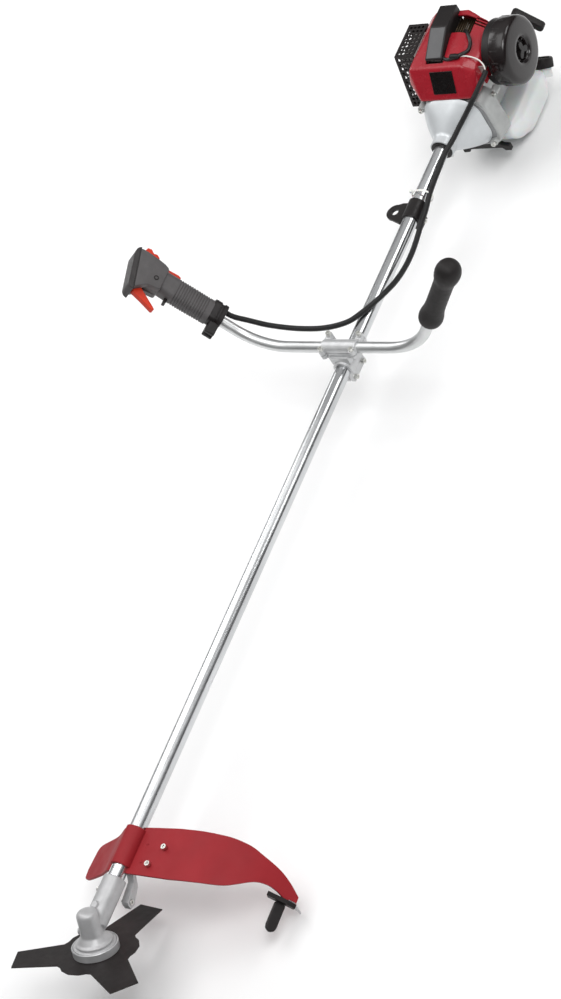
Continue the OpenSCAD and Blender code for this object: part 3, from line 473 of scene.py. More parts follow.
FLOOR_Z = cad_box[0][2] - 0.0008
floor_mesh = bpy.data.meshes.new("floor")
floor_mesh.from_pydata([(-14, -14, FLOOR_Z), (14, -14, FLOOR_Z), (14, 14, FLOOR_Z), (-14, 14, FLOOR_Z)], [],
                       [(0, 1, 2, 3)])
floor = bpy.data.objects.new("floor", floor_mesh)
bpy.context.scene.collection.objects.link(floor)
floor_mesh.materials.append(material("pale_floor", (0.93, 0.93, 0.93), 0.9, 0.0, 0.01, 2, 40, 0.0, 0.02,
                                     specular=0.1))


def area_light(name, spot, aim, size, power):
    """A square lamp at spot, turned towards aim."""
    data = bpy.data.lights.new(name, "AREA")
    data.energy = power
    data.size = size
    obj = bpy.data.objects.new(name, data)
    obj.location = spot
    obj.rotation_euler = (Vector(aim) - Vector(spot)).to_track_quat("-Z", "Y").to_euler()
    bpy.context.scene.collection.objects.link(obj)
    return obj


area_light("key", (-1.2, -2.2, 3.4), (-0.4, 0, 0), 1.6, 62)
area_light("fill", (1.8, -2.4, 2.2), (0.1, 0, 0), 1.4, 26)
area_light("top", (-0.4, 0.6, 3.2), (-0.4, 0, 0), 2.4, 42)
area_light("rim", (0.6, 2.4, 1.8), (0, 0, 0), 1.4, 20)
world = bpy.data.worlds.new("studio")
bpy.context.scene.world = world
world.use_nodes = True
wt = world.node_tree
back = wt.nodes["Background"]
back.inputs["Strength"].default_value = 0.7
w_coord = wt.nodes.new("ShaderNodeTexCoord")
w_split = wt.nodes.new("ShaderNodeSeparateXYZ")
w_ramp = wt.nodes.new("ShaderNodeValToRGB")
w_ramp.color_ramp.elements[0].position = 0.0
w_ramp.color_ramp.elements[0].color = (0.05, 0.05, 0.052, 1)
w_ramp.color_ramp.elements[1].position = 0.9
w_ramp.color_ramp.elements[1].color = (0.90, 0.90, 0.90, 1)
mid = w_ramp.color_ramp.elements.new(0.35)
mid.color = (0.22, 0.22, 0.225, 1)
wt.links.new(w_coord.outputs["Generated"], w_split.inputs[0])
wt.links.new(w_split.outputs["Z"], w_ramp.inputs["Fac"])
wt.links.new(w_ramp.outputs["Color"], back.inputs["Color"])
bpy.context.scene.view_settings.view_transform = "Standard"
bpy.context.scene.view_settings.look = "None"

# ---------------------------------------------------------------- throttle conduit, the one loose cord
# Middle line of the conduit, from the handle to the carburettor
ROUTE = [(1065, 210, 102.3), (1064.8, 205, 96), (1064.6, 200.1, 89.7), (1066.5, 193, 81), (1072, 180, 67),
         (1080, 158, 45), (1086, 130, 30), (1089, 100, 23), (1092, 68, 20), (1098, 40, 19), (1108, 16, 19),
         (1124, 0, 19), (1146, -16, 18.5), (1172, -27, 15), (1202, -32, 8), (1236, -31, 0), (1272, -28, -5),
         (1305, -25, -5), (1335, -23, -2), (1362, -23, 2), (1392, -21, 7), (1420, -20, 9), (1446, -21, 12),
         (1468, -23, 16), (1486, -26, 18), (1502, -31, 21), (1520, -39, 29), (1538, -54, 44),
         (1552, -69, 60), (1563, -77, 69), (1575, -83, 76), (1588, -87, 80), (1598, -88, 82)]
conduit_path = smooth_path(ROUTE, 0.8)
conduit = sweep("throttle_conduit_piece", conduit_path, lambda i, run: 4.9 if int(run / 1.6) % 2 else 4.4,
                18, sharp=80)
done(conduit, CONDUIT, "throttle_conduit")

# ---------------------------------------------------------------- shaft and handlebar
done(lathe("shaft_tube_piece", [(13, 56.4), (12.6, 56), (11.5, 56), (11.5, 1512), (12.6, 1512),
                                (13, 1511.6)], 96, rot("Y", 90)),
     TUBE, "shaft_tube")


def bar_points(extra_left, extra_right):
    """Middle line of the handlebar, each end run on by a length."""
    c, s = math.cos(math.radians(RISE)), math.sin(math.radians(RISE))
    pts = [Vector((0, -ARM_Y - extra_left * c, ARM_Z + extra_left * s))]
    for side in (-1, 1):
        steps = range(16, -1, -1) if side < 0 else range(0, 17)
        for i in steps:
            a = math.radians(RISE * i / 16)
            pts.append(Vector((0, side * (BAR_HALF + BEND_R * math.sin(a)), BEND_R * (1 - math.cos(a)))))
    pts.append(Vector((0, ARM_Y + extra_right * c, ARM_Z + extra_right * s)))
    return pts


BAR_LEFT_END, BAR_RIGHT_END = 182, 116
BAR_OUTER, BAR_BORE = 9.5, 8.0
bar_line = bar_points(BAR_LEFT_END, BAR_RIGHT_END)
outer = sweep("handlebar_piece", bar_line, BAR_OUTER, 48, BAR, caps=False)
inner = sweep("bore", bar_line, BAR_BORE, 48, BAR, caps=False)
inner.data.flip_normals()
bm = bmesh.new()
bm.from_mesh(outer.data)
bm.from_mesh(inner.data)
bm.to_mesh(outer.data)
bm.free()
bpy.data.objects.remove(inner)
done(outer, BAR_ALU, "handlebar")

for n in ("bar_clamp_cap", "bar_clamp_base"):
    soften(n, CLAMP, 1.1, 3)
soften("cap_screws", ZINC, 0.35, 2, 40)
soften("harness_bracket", BLACK, 0.8, 2)

# ---------------------------------------------------------------- cutting head
done(melted(clean_copy("gearcase"), 1.1, 4), CASTING, "gearcase")
holder = lathe("blade_holder_piece", [(6.02, -34.5), (12.5, -34.5), (12.65, -34.2), (12.65, -32.2),
                                      (34.2, -32.2), (35, -31.4), (35, -20.2), (34.2, -19.3), (33.2, -19.3),
                                      (32.5, -20), (32.5, -28.2), (31.8, -28.8), (12, -28.8), (11.5, -28.3),
                                      (11.5, -18), (6.02, -18)], 96, HEAD)
done(holder, CLAMP, "blade_holder")
done(lathe("head_flange_piece", [(20, -24.5), (31.6, -24.5), (32.1, -24), (32.1, -19.6), (31.2, -18.7),
                                 (27, -17.9), (20, -17.9)], 96, HEAD),
     CASTING, body="frame", slot="cast_aluminium")
soften("blade", BLADE, 0.35, 2)
soften("blade_nut", DARK_STEEL, 0.5, 2)
soften("spindle", STEEL, 0.5, 2)
soften("line_cutter", KNIFE, 0.3, 1)
soften("cutter_cover", BLACK, 1.2, 3)
stem = prism("cutter_stem_piece", rounded([(-2, -8.6), (-38, -8.6), (-44, -7.2), (-48, 0), (-44, 7.2),
                                           (-38, 8.6), (-2, 8.6)], 3), -7, -0.4, "z",
             Matrix.Translation((133, -226, -94)) @ rot("X", 47))
bevel(stem, 2.0, 3, 50)
done(stem, BLACK, body="frame", slot="black_plastic")
soften("guard_bracket", CASTING, 0.9, 2)

# ---------------------------------------------------------------- guard
# Stations across the guard: y, front x, rear x, front z, rear z
STATIONS = [(109, 116, 147, -60, -62), (100, 98, 157, -54, -57), (52, 98, 163, -25, -27),
            (21, 97, 169, 0, 0), (0, 97, 171, 0, 0), (-25, 98, 174.5, 0, 0), (-76, 99.5, 180.1, 0, 0),
            (-85, 100, 181, -1, -1), (-110, 103, 183.5, -4, -4), (-135, 107, 185.5, -10, -10),
            (-155, 111.5, 187.5, -19, -19), (-170, 117, 187.5, -28, -28), (-185, 127, 185.5, -38, -38),
            (-200, 139.5, 180, -52, -52), (-212, 144, 175.5, -66, -66), (-222, 142.5, 170, -80, -80),
            (-232, 137, 160.5, -96, -96), (-240, 139, 150, -110, -110)]
front = smooth_path([(s[1], s[0], s[3]) for s in STATIONS], 4)
rear = smooth_path([(s[2], s[0], s[4]) for s in STATIONS], 4)


def resample(path, n):
    """n points at even distances along a path."""
    lengths = [0.0]
    for a, b in zip(path, path[1:]):
        lengths.append(lengths[-1] + (b - a).length)
    out, k = [], 0
    for i in range(n):
        want = lengths[-1] * i / (n - 1)
        while k < len(path) - 2 and lengths[k + 1] < want:
            k += 1
        f = (want - lengths[k]) / max(1e-9, lengths[k + 1] - lengths[k])
        out.append(path[k].lerp(path[k + 1], min(1, max(0, f))))
    return out


def at_y(path, y):
    """Where a path crosses y."""
    for a, b in zip(path, path[1:]):
        if (a.y - y) * (b.y - y) <= 0 and a.y != b.y:
            return a.lerp(b, (a.y - y) / (a.y - b.y))
    return path[-1] if y < path[-1].y else path[0]


ys = [p.y for p in resample(front, 96)]
rings = []
for y in ys:
    a, b = at_y(front, y), at_y(rear, y)
    d = unit(b - a)
    nearby = at_y(front, y - 2) - at_y(front, y + 2)
    nearby = unit(nearby) if nearby.length > 1e-6 else Vector((0, -1, 0))
    up = d.cross(nearby)
    up = unit(up if up.z > 0 else -up)
    t = 2.6
    ring = []
    for k in range(13):
        f = k / 12
        ring.append(a.lerp(b, f))
    lip = -4.2
    ring += [b + up * lip + d * -0.2, b + up * lip - d * 2.4, b - up * t - d * 2.6]
    for k in range(11, 0, -1):
        ring.append(a.lerp(b, k / 12) - up * t)
    ring += [a - up * t + d * 2.6, a + up * lip + d * 2.4, a + up * lip + d * 0.2]
    rings.append(ring)
verts, faces = loft(rings)
plate = make("guard_piece", verts, faces, sharp=40)
tunnel = rod((90, 0, 0), (200, 0, 0), 13.02, 64)
cut(plate, tunnel, block((90, -13.2, -30), (200, 13.2, 0.0)))
saddle = lathe("guard_saddle_piece", [(13.02, 105.6), (15.6, 105.6), (16.5, 106.5), (16.5, 167.3),
                                      (15.8, 168), (13.02, 168)], 96, rot("Y", 90))
cut(saddle, block((90, -30, -30), (200, 30, -0.2)))
bevel(plate, 0.7, 2, 45)
bevel(saddle, 0.6, 2, 45)
done(plate, GUARD_RED, "guard")
done(saddle, GUARD_RED, body="frame", slot="guard_red")
for x, y in ((148, -30), (119, -32)):
    done(lathe(f"guard_pin_{x}", [(0.01, -1.5), (2.2, -1.5), (2.2, 0.4), (1.8, 0.9), (0.01, 1.1)], 24,
               Matrix.Translation((x, y, 0)), closed=False),
         GUARD_RED, body="frame", slot="guard_red")

# ---------------------------------------------------------------- left grip
# Radius and height along the left grip
grip_profile = [(9.7, 27.4), (13, 27), (15.6, 28.6), (18, 32), (19.4, 36), (20, 42), (19.7, 48), (18.6, 55),
                (17.4, 62), (16.7, 70), (16.4, 80), (16.3, 100), (16.3, 120), (16.4, 136), (16.8, 144),
                (17.9, 150.5), (19.4, 156), (20.4, 162), (20.8, 168), (20.4, 174), (19.2, 179.5),
                (17, 184.5), (13.5, 188.4), (9, 190.8), (4.5, 191.8), (0.01, 192)]
ribbed = []
for (r0, z0), (r1, z1) in zip(grip_profile, grip_profile[1:]):
    steps = max(1, int((z1 - z0) / 1.5)) if 62 <= z0 < 144 else 1
    for k in range(steps):
        f = k / steps
        r, z = r0 + (r1 - r0) * f, z0 + (z1 - z0) * f
        ribbed.append((r, z))
ribbed.append(grip_profile[-1])
grip = lathe("left_grip_piece", ribbed, 72, ARM_L, closed=False, sharp=60)
done(grip, RUBBER, "left_grip")

# ---------------------------------------------------------------- throttle handle
HALF = 19
grip_rings = []
z = 50.0
while z <= 152.0:
    ribs = 60 <= z <= 118
    groove = 0.9 if ribs and (z - 60) % 4.6 < 1.5 else 0.0
    swell = 0.8 * math.sin(math.pi * (z - 52) / 100)
    ring = [Vector((x, y, z)) for x, y in round_rect((-18.5 + groove - swell, -16.5 + groove - swell),
                                                     (23.5 - groove, 16.5 - groove + swell), 12.5, 8)]
    grip_rings.append(ring)
    z += 0.75
verts, faces = loft(grip_rings)
shell = make("handle_grip_piece", verts, faces, ARM_R, sharp=50)
slot_cut = block((12.5, -6.6, 112), (40, 6.6, 162), ARM_R)
cut(shell, slot_cut)
bevel(shell, 0.5, 2, 60)
done(shell, HANDLE, "handle_body", "handle_cover")
# Side views of the throttle handle in its own x and z
HEAD_LINE = [(-20, 142), (-23, 164), (-39.5, 182), (30.5, 201.5), (31, 186), (29.5, 168), (27.5, 154),
             (23.5, 144)]
head = prism("handle_head_piece", rounded(HEAD_LINE, 4), -HALF, HALF, "y", ARM_R)
bevel(head, 3.2, 4, 50)
applied(head)
cut(head, block((-60, -6.6, 134), (-20, 6.6, 181), ARM_R), block((12.5, -6.6, 130), (60, 6.6, 163), ARM_R),
    block((27, -15.4, 158), (60, 3.4, 196), ARM_R))
done(head, HANDLE, body="frame", slot="handle_grey")
LID_LINE = [(-40, 183), (-46, 181), (-44.8, 188), (-40, 192.8), (18, 208.3), (27.5, 207), (32, 203)]
lid = prism("handle_lid_piece", rounded(LID_LINE, 3), -HALF, HALF, "y", ARM_R)
bevel(lid, 3.4, 4, 50)
done(lid, HANDLE_LID, "handle_lid")
seam = prism("handle_seam_piece", [(-38.6, 181.4), (-39.1, 183.2), (31.7, 203.0), (32.2, 201.2)],
             -HALF + 0.5, HALF - 0.5, "y", ARM_R)
done(seam, BLACK, body="frame", slot="black_plastic")
ring_rings = [[Vector((x, y, zz)) for x, y in round_rect((-15.5 + e, -16.5 + e), (27 - e, 16.5 - e), 10, 8)]
              for zz, e in ((26, 1.2), (27, 0.2), (33, 0), (34, 1.4), (38, 1.4), (39, 0), (49, 0),
                            (51, 0.3), (52, 1.4))]
verts, faces = loft(ring_rings)
collar = make("handle_collar_piece", verts, faces, ARM_R, sharp=40)
done(collar, BLACK, body="frame", slot="handle_grey")
for k, (a, b) in enumerate((((-36.5, -9.5, 27), (-13, -2.2, 45)), ((-36.5, 2.2, 27), (-13, 9.5, 45)))):
    lug = bevel(block(a, b, ARM_R, f"handle_lug_{k}"), 1.8, 3, 40)
    done(lug, BLACK, body="frame", slot="handle_grey")
done(lathe("handle_boss_piece", [(2.2, 0), (4.4, 0), (4.6, 0.3), (4.3, 0.9), (2.5, 1.0), (2.2, -2.5)], 32,
           ARM_R @ Matrix.Translation((-4.4, -HALF + 0.2, 156.8)) @ rot("X", 90)), BLACK, body="frame",
           slot="handle_grey")
TRIGGER = [(-54.6, 136.2), (-50.4, 133.6), (-46.5, 139), (-27.5, 170), (-18, 167), (-10.5, 169), (-9.5, 175),
           (-14, 179.5), (-28, 183), (-36, 185), (-41.5, 181), (-47, 160)]
trigger = bevel(prism("throttle_trigger_piece", rounded(TRIGGER, 2.5), -6, 6, "y", ARM_R), 1.6, 3, 40)
done(trigger, ORANGE, "throttle_trigger")
SWITCH = [(27.5, 166), (34, 167), (37.8, 173), (35.8, 179), (40.8, 185), (39.5, 192), (27.5, 195)]
switch = bevel(prism("stop_switch_piece", rounded(SWITCH, 1.2), -14.6, 2.6, "y", ARM_R), 1.2, 3, 40)
done(switch, ORANGE, "stop_switch")
soften("lockout_lever", ORANGE, 1.5, 3)
soften("idle_lock_button", BLACK, 0.6, 2)
soften("handle_screws", DARK_STEEL, 0.3, 2)
soften("trigger_spring", STEEL, 0.1, 1)

# ---------------------------------------------------------------- engine: silver clutch housing
# Sections of the clutch housing: x, low y, high y, low z, high z, corner radius
SECTIONS = [(1497.4, -20.2, 20.2, -20.2, 20.2, 20.1), (1498.2, -21.3, 21.3, -21.3, 21.3, 21.2),
            (1511, -21.5, 21.5, -21.5, 21.5, 21.4), (1514, -22.2, 21.8, -22, 22, 21.5),
            (1518, -26, 24.5, -25, 25.5, 24), (1524, -33, 29.5, -30.5, 31, 28.5),
            (1531, -40, 34.5, -37, 37, 32.5), (1539, -46.5, 39.5, -43.5, 43.5, 35),
            (1547, -52.5, 43.5, -49.5, 49, 36.5), (1554, -58, 46.3, -54, 53.5, 37.5),
            (1559, -61.5, 47.6, -57, 56.3, 38), (1561, -62.8, 48, -58, 57, 38),
            (1562, -62.4, 47.6, -57.6, 56.6, 38)]
verts, faces = loft([[Vector((x, y, z)) for y, z in round_rect((y0, z0), (y1, z1), r, 12)] for x, y0, y1,
                     z0, z1, r in SECTIONS])
bell = make("fan_housing_piece", verts, faces, sharp=45)
cut(bell, rod((1480, 0, 0), (1532, 0, 0), 13.05, 64), rod((1531, 0, 0), (1570, 0, 0), 31, 64),
    block((1490, -1.2, -40), (1512, 1.2, -10)))
done(bell, SILVER, "fan_housing")
gasket = [[Vector((x, y, z)) for y, z in round_rect((y0, z0), (y1, z1), r, 12)]
          for x, y0, y1, z0, z1, r in ((1561.9, -64.5, 46, -58, 45, 36), (1565.2, -68.5, 47.5, -60.5, 45.5,
              32))]
verts, faces = loft(gasket)
seam_ring = make("housing_gasket_piece", verts, faces, sharp=45)
cut(seam_ring, rod((1550, 0, 0), (1575, 0, 0), 45.2, 64))
done(seam_ring, GASKET, body="frame", slot="housing_silver")
# Sections of the crankcase flange, in the same order
FLANGE = [(1564.9, -71, 49.5, -61.5, 45.5, 24), (1566.6, -73.3, 51.3, -63.4, 47.3, 25),
          (1569, -74, 52, -64, 48, 25), (1584, -75.5, 52, -64.5, 48, 24), (1598, -77, 52, -65, 48, 23),
          (1601, -76, 51, -64, 47, 22)]
verts, faces = loft([[Vector((x, y, z)) for y, z in round_rect((y0, z0), (y1, z1), r, 12)] for x, y0, y1,
                     z0, z1, r in FLANGE])
flange = make("crankcase_flange_piece", verts, faces, sharp=40)
cut(flange, rod((1550, 0, 0), (1592, 0, 0), 45.1, 64))
done(flange, SILVER_DARK, body="frame", slot="housing_silver")
case = clean_copy("crankcase")
bevel(case, 1.2, 3)
applied(case)
cut(case, block((1561, -90, -80), (1600.5, 78, 60)))
done(case, SILVER_DARK, "crankcase")
for k, (x, y, z) in enumerate(((1562, -58, -51), (1562, 44, -44), (1562, 46, 40), (1596, -80, 30))):
    nose, back_to = (-6, 22) if k < 3 else (0, 14)
    boss = lathe(f"housing_boss_{k}",
                 [(2.7, nose), (6.2, nose), (6.7, nose + 0.6), (7.3, back_to), (2.7, back_to)],
                 40, Matrix.Translation((x, y, z)) @ rot("Y", 90))
    done(boss, SILVER_DARK, body="frame", slot="housing_silver")
done(lathe("collar_seal_piece", [(13.05, 1495.4), (18.2, 1495.4), (19.2, 1496.2), (19.2, 1498),
                                 (13.05, 1498)], 72, rot("Y", 90)),
     BLACK, body="frame", slot="black_plastic")

# ---------------------------------------------------------------- engine: red shroud


def shroud_corners(w):
    """Corners of the shroud, w mm out from its inner form."""
    return [(1563 - w, 34 + w, 40), (1563 - w, -62 - w, 40), (1572, -71 - w, 40), (1580, 50 + w, 40),
            (1563 - w, 36 + w, 58), (1563 - w, -62 - w, 58), (1572, -71 - w, 58), (1578, 52 + w, 58),
            (1701 + w, 58 + w, 40), (1701 + w, -71 - w, 40), (1590, -71 - w, 92),
            (1588.6 - w, 46 + w, 106 + w), (1588.6 - w, -52 - w, 106 + w), (1580, 54 + w, 84),
            (1701 + w, 58 + w, 86), (1694, -71 - w, 98), (1622, -71 - w, 96), (1701 + w, 44 + w, 114),
            (1640, 30, 118 + w), (1640, -34, 118 + w), (1701 + w, 30, 124 + w), (1701 + w, -34, 124 + w)]


def deeper(points, z):
    """The same corners with the lowest ones moved to z."""
    return [(x, y, z if zz < 50 else zz) for x, y, zz in points]


shroud = hull("shroud_piece", deeper(shroud_corners(3.2), 24), 2.2, 7)
hollow = hull("hollow", deeper(shroud_corners(0.2), 14), 3.5, 5)
slots = [block((1678.5 + 6.2 * i, -90, 92), (1682.3 + 6.2 * i, -50, 120)) for i in range(4)]
cut(shroud, hollow, block((1550, -90, 0), (1601.7, 90, 57.4)), block((1601, -90, 0), (1730, 90, 48.7)),
    block((1594.5, -17.5, 90), (1730, 17.5, 160)),
    block((1654, -50, 96), (1692, -17, 160)), block((1626, -90, 20), (1676, -60, 92)),
    block((1634, 50, 20), (1690, 90, 80)), *slots)
done(shroud, SHROUD_RED, "shroud")
BADGE_STRETCH = 1.13
badge = clean_copy("badge_plate")
left_edge = max(v.co.y for v in badge.data.vertices)
widened = Matrix.Diagonal((1, BADGE_STRETCH, 1, 1))
badge.data.transform(Matrix.Translation((0.0008, -0.0022 + left_edge * (1 - BADGE_STRETCH), 0)) @ widened)
bevel(badge, 0.6, 2)
done(badge, BADGE, "badge_plate")

# Side view of the plug cover
COVER = [(1598, 112), (1598, 118), (1653, 141), (1704, 141), (1704, 112)]
cover = prism("plug_cover_piece", rounded(COVER, 2.5), -17, 17, "y")
bevel(cover, 1.8, 3, 40)
applied(cover)
cut(cover, prism("cutter", [(1590, 100), (1590, 113), (1601, 115.5), (1654, 138.4), (1701.5, 138.4),
                            (1701.5, 100)], -14.6, 14.6, "y"))
done(cover, BLACK, "plug_cover")
slope = math.degrees(math.atan2(141 - 118, 1653 - 1598))
# Grey panel on the plug cover's sloped face: a painted highlight, a lighter patch standing for the sheen of
# light on the black cover
panel = block((2, -14.2, -0.4), (57, 14.2, 0.7), Matrix.Translation((1598, 0, 118)) @ rot("Y", -slope),
              "cover_face_highlight_piece")
bevel(panel, 0.6, 2)
done(panel, PAINTED_HIGHLIGHT_GREY, body="frame", slot="black_plastic")

# Cylinder fins in the shroud's window, coloured near black as painted shade; the plate under them is a dark
# sheet of painted shade that closes the window
for k in range(9):
    y = -51 + 4.0 * k
    fin = block((1651, y, 92), (1697, y + 1.5, 109 + 0.9 * k), SHAFT, f"window_fin_{k}")
    bevel(fin, 0.5, 1)
    done(fin, FIN_PAINTED_SHADE, body="frame", slot="engine_aluminium")
shade_plate = bevel(block((1618, -54, 88), (1699, -16, 92.5), SHAFT, "window_shade_plate_piece"), 0.8, 2)
done(shade_plate, FIN_PAINTED_SHADE, body="frame", slot="engine_aluminium")

# ignition lead and stop wire, laid on the shroud
tree = BVHTree.FromObject(shroud, bpy.context.evaluated_depsgraph_get())


def on_shroud(x, y, lift):
    """A point lift mm over the shroud's upper face."""
    p = row(x, y, 200)
    hit = tree.ray_cast(p, Vector((0, 0, -1)))
    z = hit[0].z * 1000 if hit[0] else 108
    return (x, y, z + lift)


lead = [(1672, -30, 108), (1662, -40, 116)] + [on_shroud(x, y, 3.4)
                                               for x, y in ((1650, -50), (1636, -57), (1620, -58),
                                                            (1606, -50), (1600, -38))] \
    + [(1600, -24, 113), (1606, -12, 114)]
done(sweep("ignition_lead_piece", smooth_path(lead, 2.5), 3.3, 18), HT_LEAD, body="frame",
     slot="black_plastic")
boot = lathe("lead_boot_piece", [(3.4, -2), (5.2, 0), (5.4, 8), (4.6, 14), (3.4, 16)], 28,
             Matrix.Translation((1602, -34, 0)) @ Matrix.Translation((0, 0,
                 on_shroud(1602, -34, 4)[2])) @ rot("X", 90))
done(boot, BLACK, body="frame", slot="black_plastic")
wire = [(1596, -88, 82), (1603, -86, 90), (1608, -78, 99), (1609, -66, 106.5), (1607, -54, 111.5),
        (1603, -44, 113), (1600, -36, 112)]
done(sweep("stop_wire_piece", smooth_path(wire, 2), 1.3, 12), WIRE, body="frame", slot="rope_white")

# ---------------------------------------------------------------- engine: cylinder, exhaust, intake
soften("cylinder", ENGINE, 0.5, 1)
soften("muffler", EXHAUST, 1.5, 3)


def perforated(name, a, b, c, d, across, along, size, border):
    """A sheet between four corners a, b, c, d with a grid of round holes."""
    a, b, c, d = (Vector(p) for p in (a, b, c, d))

    def at(u, v):
        return a.lerp(b, u).lerp(d.lerp(c, u), v)

    lu, lv = (b - a).length, (d - a).length
    us = [0, border / lu] + [border / lu + (1 - 2 * border / lu) * i / across
                             for i in range(1, across)] + [1 - border / lu, 1]
    vs = [0, border / lv] + [border / lv + (1 - 2 * border / lv) * i / along for i in range(1, along)] + [1
        - border / lv, 1]
    verts, faces = [], []
    for i in range(len(us) - 1):
        for j in range(len(vs) - 1):
            u0, u1, v0, v1 = us[i], us[i + 1], vs[j], vs[j + 1]
            um, vm = (u0 + u1) / 2, (v0 + v1) / 2
            edge = [(u0, v0), (um, v0), (u1, v0), (u1, vm), (u1, v1), (um, v1), (u0, v1), (u0, vm)]
            k = len(verts)
            verts += [at(*p) for p in edge]
            if i in (0, len(us) - 2) or j in (0, len(vs) - 2):
                faces.append(tuple(range(k, k + 8)))
                continue
            ru, rv = size / lu, size / lv
            hole = [(um + ru * math.cos(t), vm + rv * math.sin(t)) for t in (math.radians(225 + 45 * q)
                for q in range(8))]
            verts += [at(*p) for p in hole]
            faces += [(k + q, k + (q + 1) % 8, k + 8 + (q + 1) % 8, k + 8 + q) for q in range(8)]
    return verts, faces


parts = [perforated("front", (1601, 61, 4), (1601, 100, 4), (1627, 100, 102), (1627, 61, 102), 4, 11, 2.9,
                    3.2),
         perforated("top", (1627, 61, 102), (1627, 100, 102), (1704, 100, 102), (1704, 61, 102), 4, 8, 2.9,
                    3.2),
         perforated("side", (1604, 100, 4), (1690, 100, 4), (1704, 100, 102), (1627, 100, 102), 4, 5, 8.6,
                    5.0)]
verts, faces = [], []
for v, f in parts:
    k = len(verts)
    verts += v
    faces += [tuple(i + k for i in g) for g in f]
k = len(verts)
verts += [Vector(p) for p in ((1601, 61, 4), (1601, 100, 4), (1690, 100, 4), (1690, 61, 4), (1704, 61, 16),
                              (1704, 100, 16), (1704, 100, 102), (1704, 61, 102))]
faces += [(k, k + 1, k + 2, k + 3), (k + 3, k + 2, k + 5, k + 4), (k + 4, k + 5, k + 6, k + 7)]
heat = make("muffler_guard_piece", verts, faces, sharp=30)
modifier(heat, "SOLIDIFY", thickness=0.0018, offset=-1)
bevel(heat, 0.5, 1, 50)
done(heat, HEAT_BLACK, "muffler_guard")
rim = [Vector(p) for p in ((1602, 99.4, 5), (1627.6, 99.4, 101.4), (1703, 99.4, 101.4))]
done(sweep("heat_guard_rim_piece", rim, 1.1, 10), HEAT_BLACK, body="frame", slot="heat_guard_black")

soften("carburettor", ENGINE, 0.9, 2)
soften("throttle_arm", BRASS, 0.3, 1)
soften("choke_lever", BLACK, 0.5, 2)
soften("primer_bulb", BULB, 0.3, 2)
soften("filter_case", BLACK, 1.0, 2)
# Radius and height of the dish, outside and inside
cover_profile = [(3.15, 22.6), (19, 22.6), (21, 30.5), (23.5, 32.6), (26, 32.8), (50.5, 31.2), (55.6, 28.4),
                 (57.2, 25), (57.2, 0.4), (58.6, 0), (59.6, 0.4), (60, 1.4), (60, 22), (59.7, 25.5),
                 (58.6, 28.8), (56.4, 31.4), (53.2, 33.2), (49, 34), (30, 34.8), (24.6, 35), (23.4, 34.2),
                 (21, 24.6), (3.15, 24.6)]
filter_cover = lathe("filter_cover_piece", cover_profile, 120, FILTER_RIM, sharp=45)
done(filter_cover, GLOSS_BLACK, "filter_cover")
for k in range(3):
    a = 90 + 60 + 120 * k
    rib = block((17.3, -1.1, 24.2), (21.5, 1.1, 30), FILTER_RIM @ rot("Z", a), f"cover_rib_{k}")
    bevel(rib, 0.5, 2)
    done(rib, GLOSS_BLACK, body="frame", slot="black_plastic")
for k in range(18):
    a = 20 * k + 6
    tick = block((-1.4, 58.6, 3), (1.4, 60.4, 17), FILTER_RIM @ rot("Z", a), f"cover_grip_{k}")
    bevel(tick, 0.6, 2)
    done(tick, GLOSS_BLACK, body="frame", slot="black_plastic")
soften("filter_knob", BLACK, 1.0, 3)

# ---------------------------------------------------------------- engine: starter, tank, stand
soften("starter_housing", BLACK, 1.4, 3)
soften("starter_pulley", PULLEY, 0.5, 2)
rope = sweep("starter_rope_piece", [(1724 + 1.4 * i, -60, 2) for i in range(50)], lambda i, run: 1.75
             if i % 2 else 1.62, 14, sharp=80)
rope.data.materials.append(ROPE)
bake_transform(rope)
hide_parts("starter_rope")
done(melted(clean_copy("starter_handle"), 1.2, 7), BLACK, "starter_handle")


def tank_corners(w):
    """Corners of the tank, w mm out from its inner form."""
    return [(1608 - w, 58 + w, -68 + w), (1608 - w, -58 - w, -68 + w), (1606 - w, 60 + w, -88),
            (1606 - w, -60 - w, -88), (1624, 58, -112 - w), (1624, -58, -112 - w), (1668, 54, -138 - w),
            (1668, -54, -138 - w), (1734, 52, -139 - w), (1734, -52, -139 - w), (1640, 68 + w, -78),
            (1640, -71 - w, -78), (1660, 68 + w, -116), (1660, -70 - w, -116), (1728, 68 + w, -78),
            (1730, -71 - w, -78), (1736, 66 + w, -120), (1734, -69 - w, -120), (1728, 58, -66 + w),
            (1728, -62, -66 + w), (1774 + w, 50, -98), (1774 + w, -56, -98), (1772 + w, 48, -116),
            (1770 + w, -52, -116)]


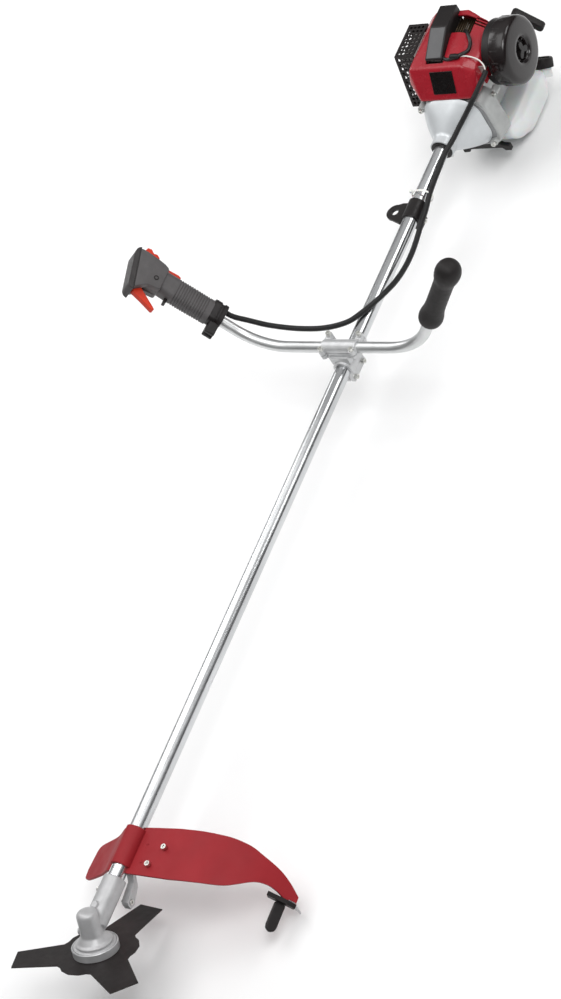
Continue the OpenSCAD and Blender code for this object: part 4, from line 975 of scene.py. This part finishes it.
tank = hull("fuel_tank_piece", tank_corners(3.4), 3.0, 16)
done(tank, TANK, "fuel_tank")
neck = lathe("tank_neck_piece", [(11.1, -8), (15.5, -8), (15, -2), (14.2, 2), (14.2, 13.6), (11.1, 13.6)],
             56, CAP)
done(neck, NECK, body="frame", slot="tank_white")
cap_rings = []
for zz, r in ((8, 18.2), (8.6, 18.8), (22.5, 18.8), (25, 18.0), (25.9, 16.4), (26, 12), (25.2, 11),
              (25.2, 0.05)):
    knurl = 0.55 if 7.4 < zz < 23 else 0.0
    cap_rings.append([Vector(((r - knurl * (k % 2)) * math.cos(2 * math.pi * k / 96), (r - knurl * (k % 2))
                              * math.sin(2 * math.pi * k / 96), zz)) for k in range(96)])
verts, faces = loft(cap_rings)
cap = make("fuel_cap_piece", verts, faces, CAP, sharp=35)
done(cap, BLACK, "fuel_cap")
cap_bar = block((-1.6, -15, 25.4), (1.6, 15, 28), CAP, "cap_grip_piece")
bevel(cap_bar, 1.0, 3)
done(cap_bar, BLACK, body="tank_cap", slot="black_plastic")
soften("tank_stand", BLACK, 1.4, 3)

# cable tie round the shaft and the conduit
tie_path = [Vector((1392, 20.0 * math.cos(t) - 4.5, 15.2 * math.sin(t) + 2.2))
            for t in (2 * math.pi * k / 40 for k in range(41))]
tie_rings = []
for i, p in enumerate(tie_path[:-1]):
    d = unit(tie_path[i + 1] - tie_path[i - 1 if i else -2])
    side = Vector((1, 0, 0))
    up = d.cross(side)
    tie_rings.append([p + side * 1.8 + up * 0.5, p - side * 1.8 + up * 0.5, p - side * 1.8 - up * 0.5,
                      p + side * 1.8 - up * 0.5])
verts, faces = loft(tie_rings, caps=False, loop=True)
done(make("cable_tie_piece", verts, faces, sharp=30), TIE, body="frame", slot="tank_white")
tie_head = bevel(block((1389.4, 10, 12.4), (1394.6, 15, 17.6), SHAFT, "cable_tie_head_piece"), 0.6, 2)
done(tie_head, TIE, body="frame", slot="tank_white")

# ---------------------------------------------------------------- the rest keeps its CAD shape
REST = {"drive_shaft": STEEL, "shaft_bushes": NYLON, "pinion_gear": STEEL, "bevel_gear": STEEL,
        "gearcase_bearings": STEEL,
        "clutch_drum": DRUM, "clutch_shoes": SHOE, "flywheel": ENGINE, "crankshaft": STEEL,
        "connecting_rod": ENGINE,
        "piston": ENGINE, "spark_plug": CERAMIC}
for n, m in REST.items():
    for s in range(max(1, len(NODES[n].material_slots))):
        if not NODES[n].material_slots:
            NODES[n].data.materials.append(m)
        NODES[n].material_slots[s].material = m
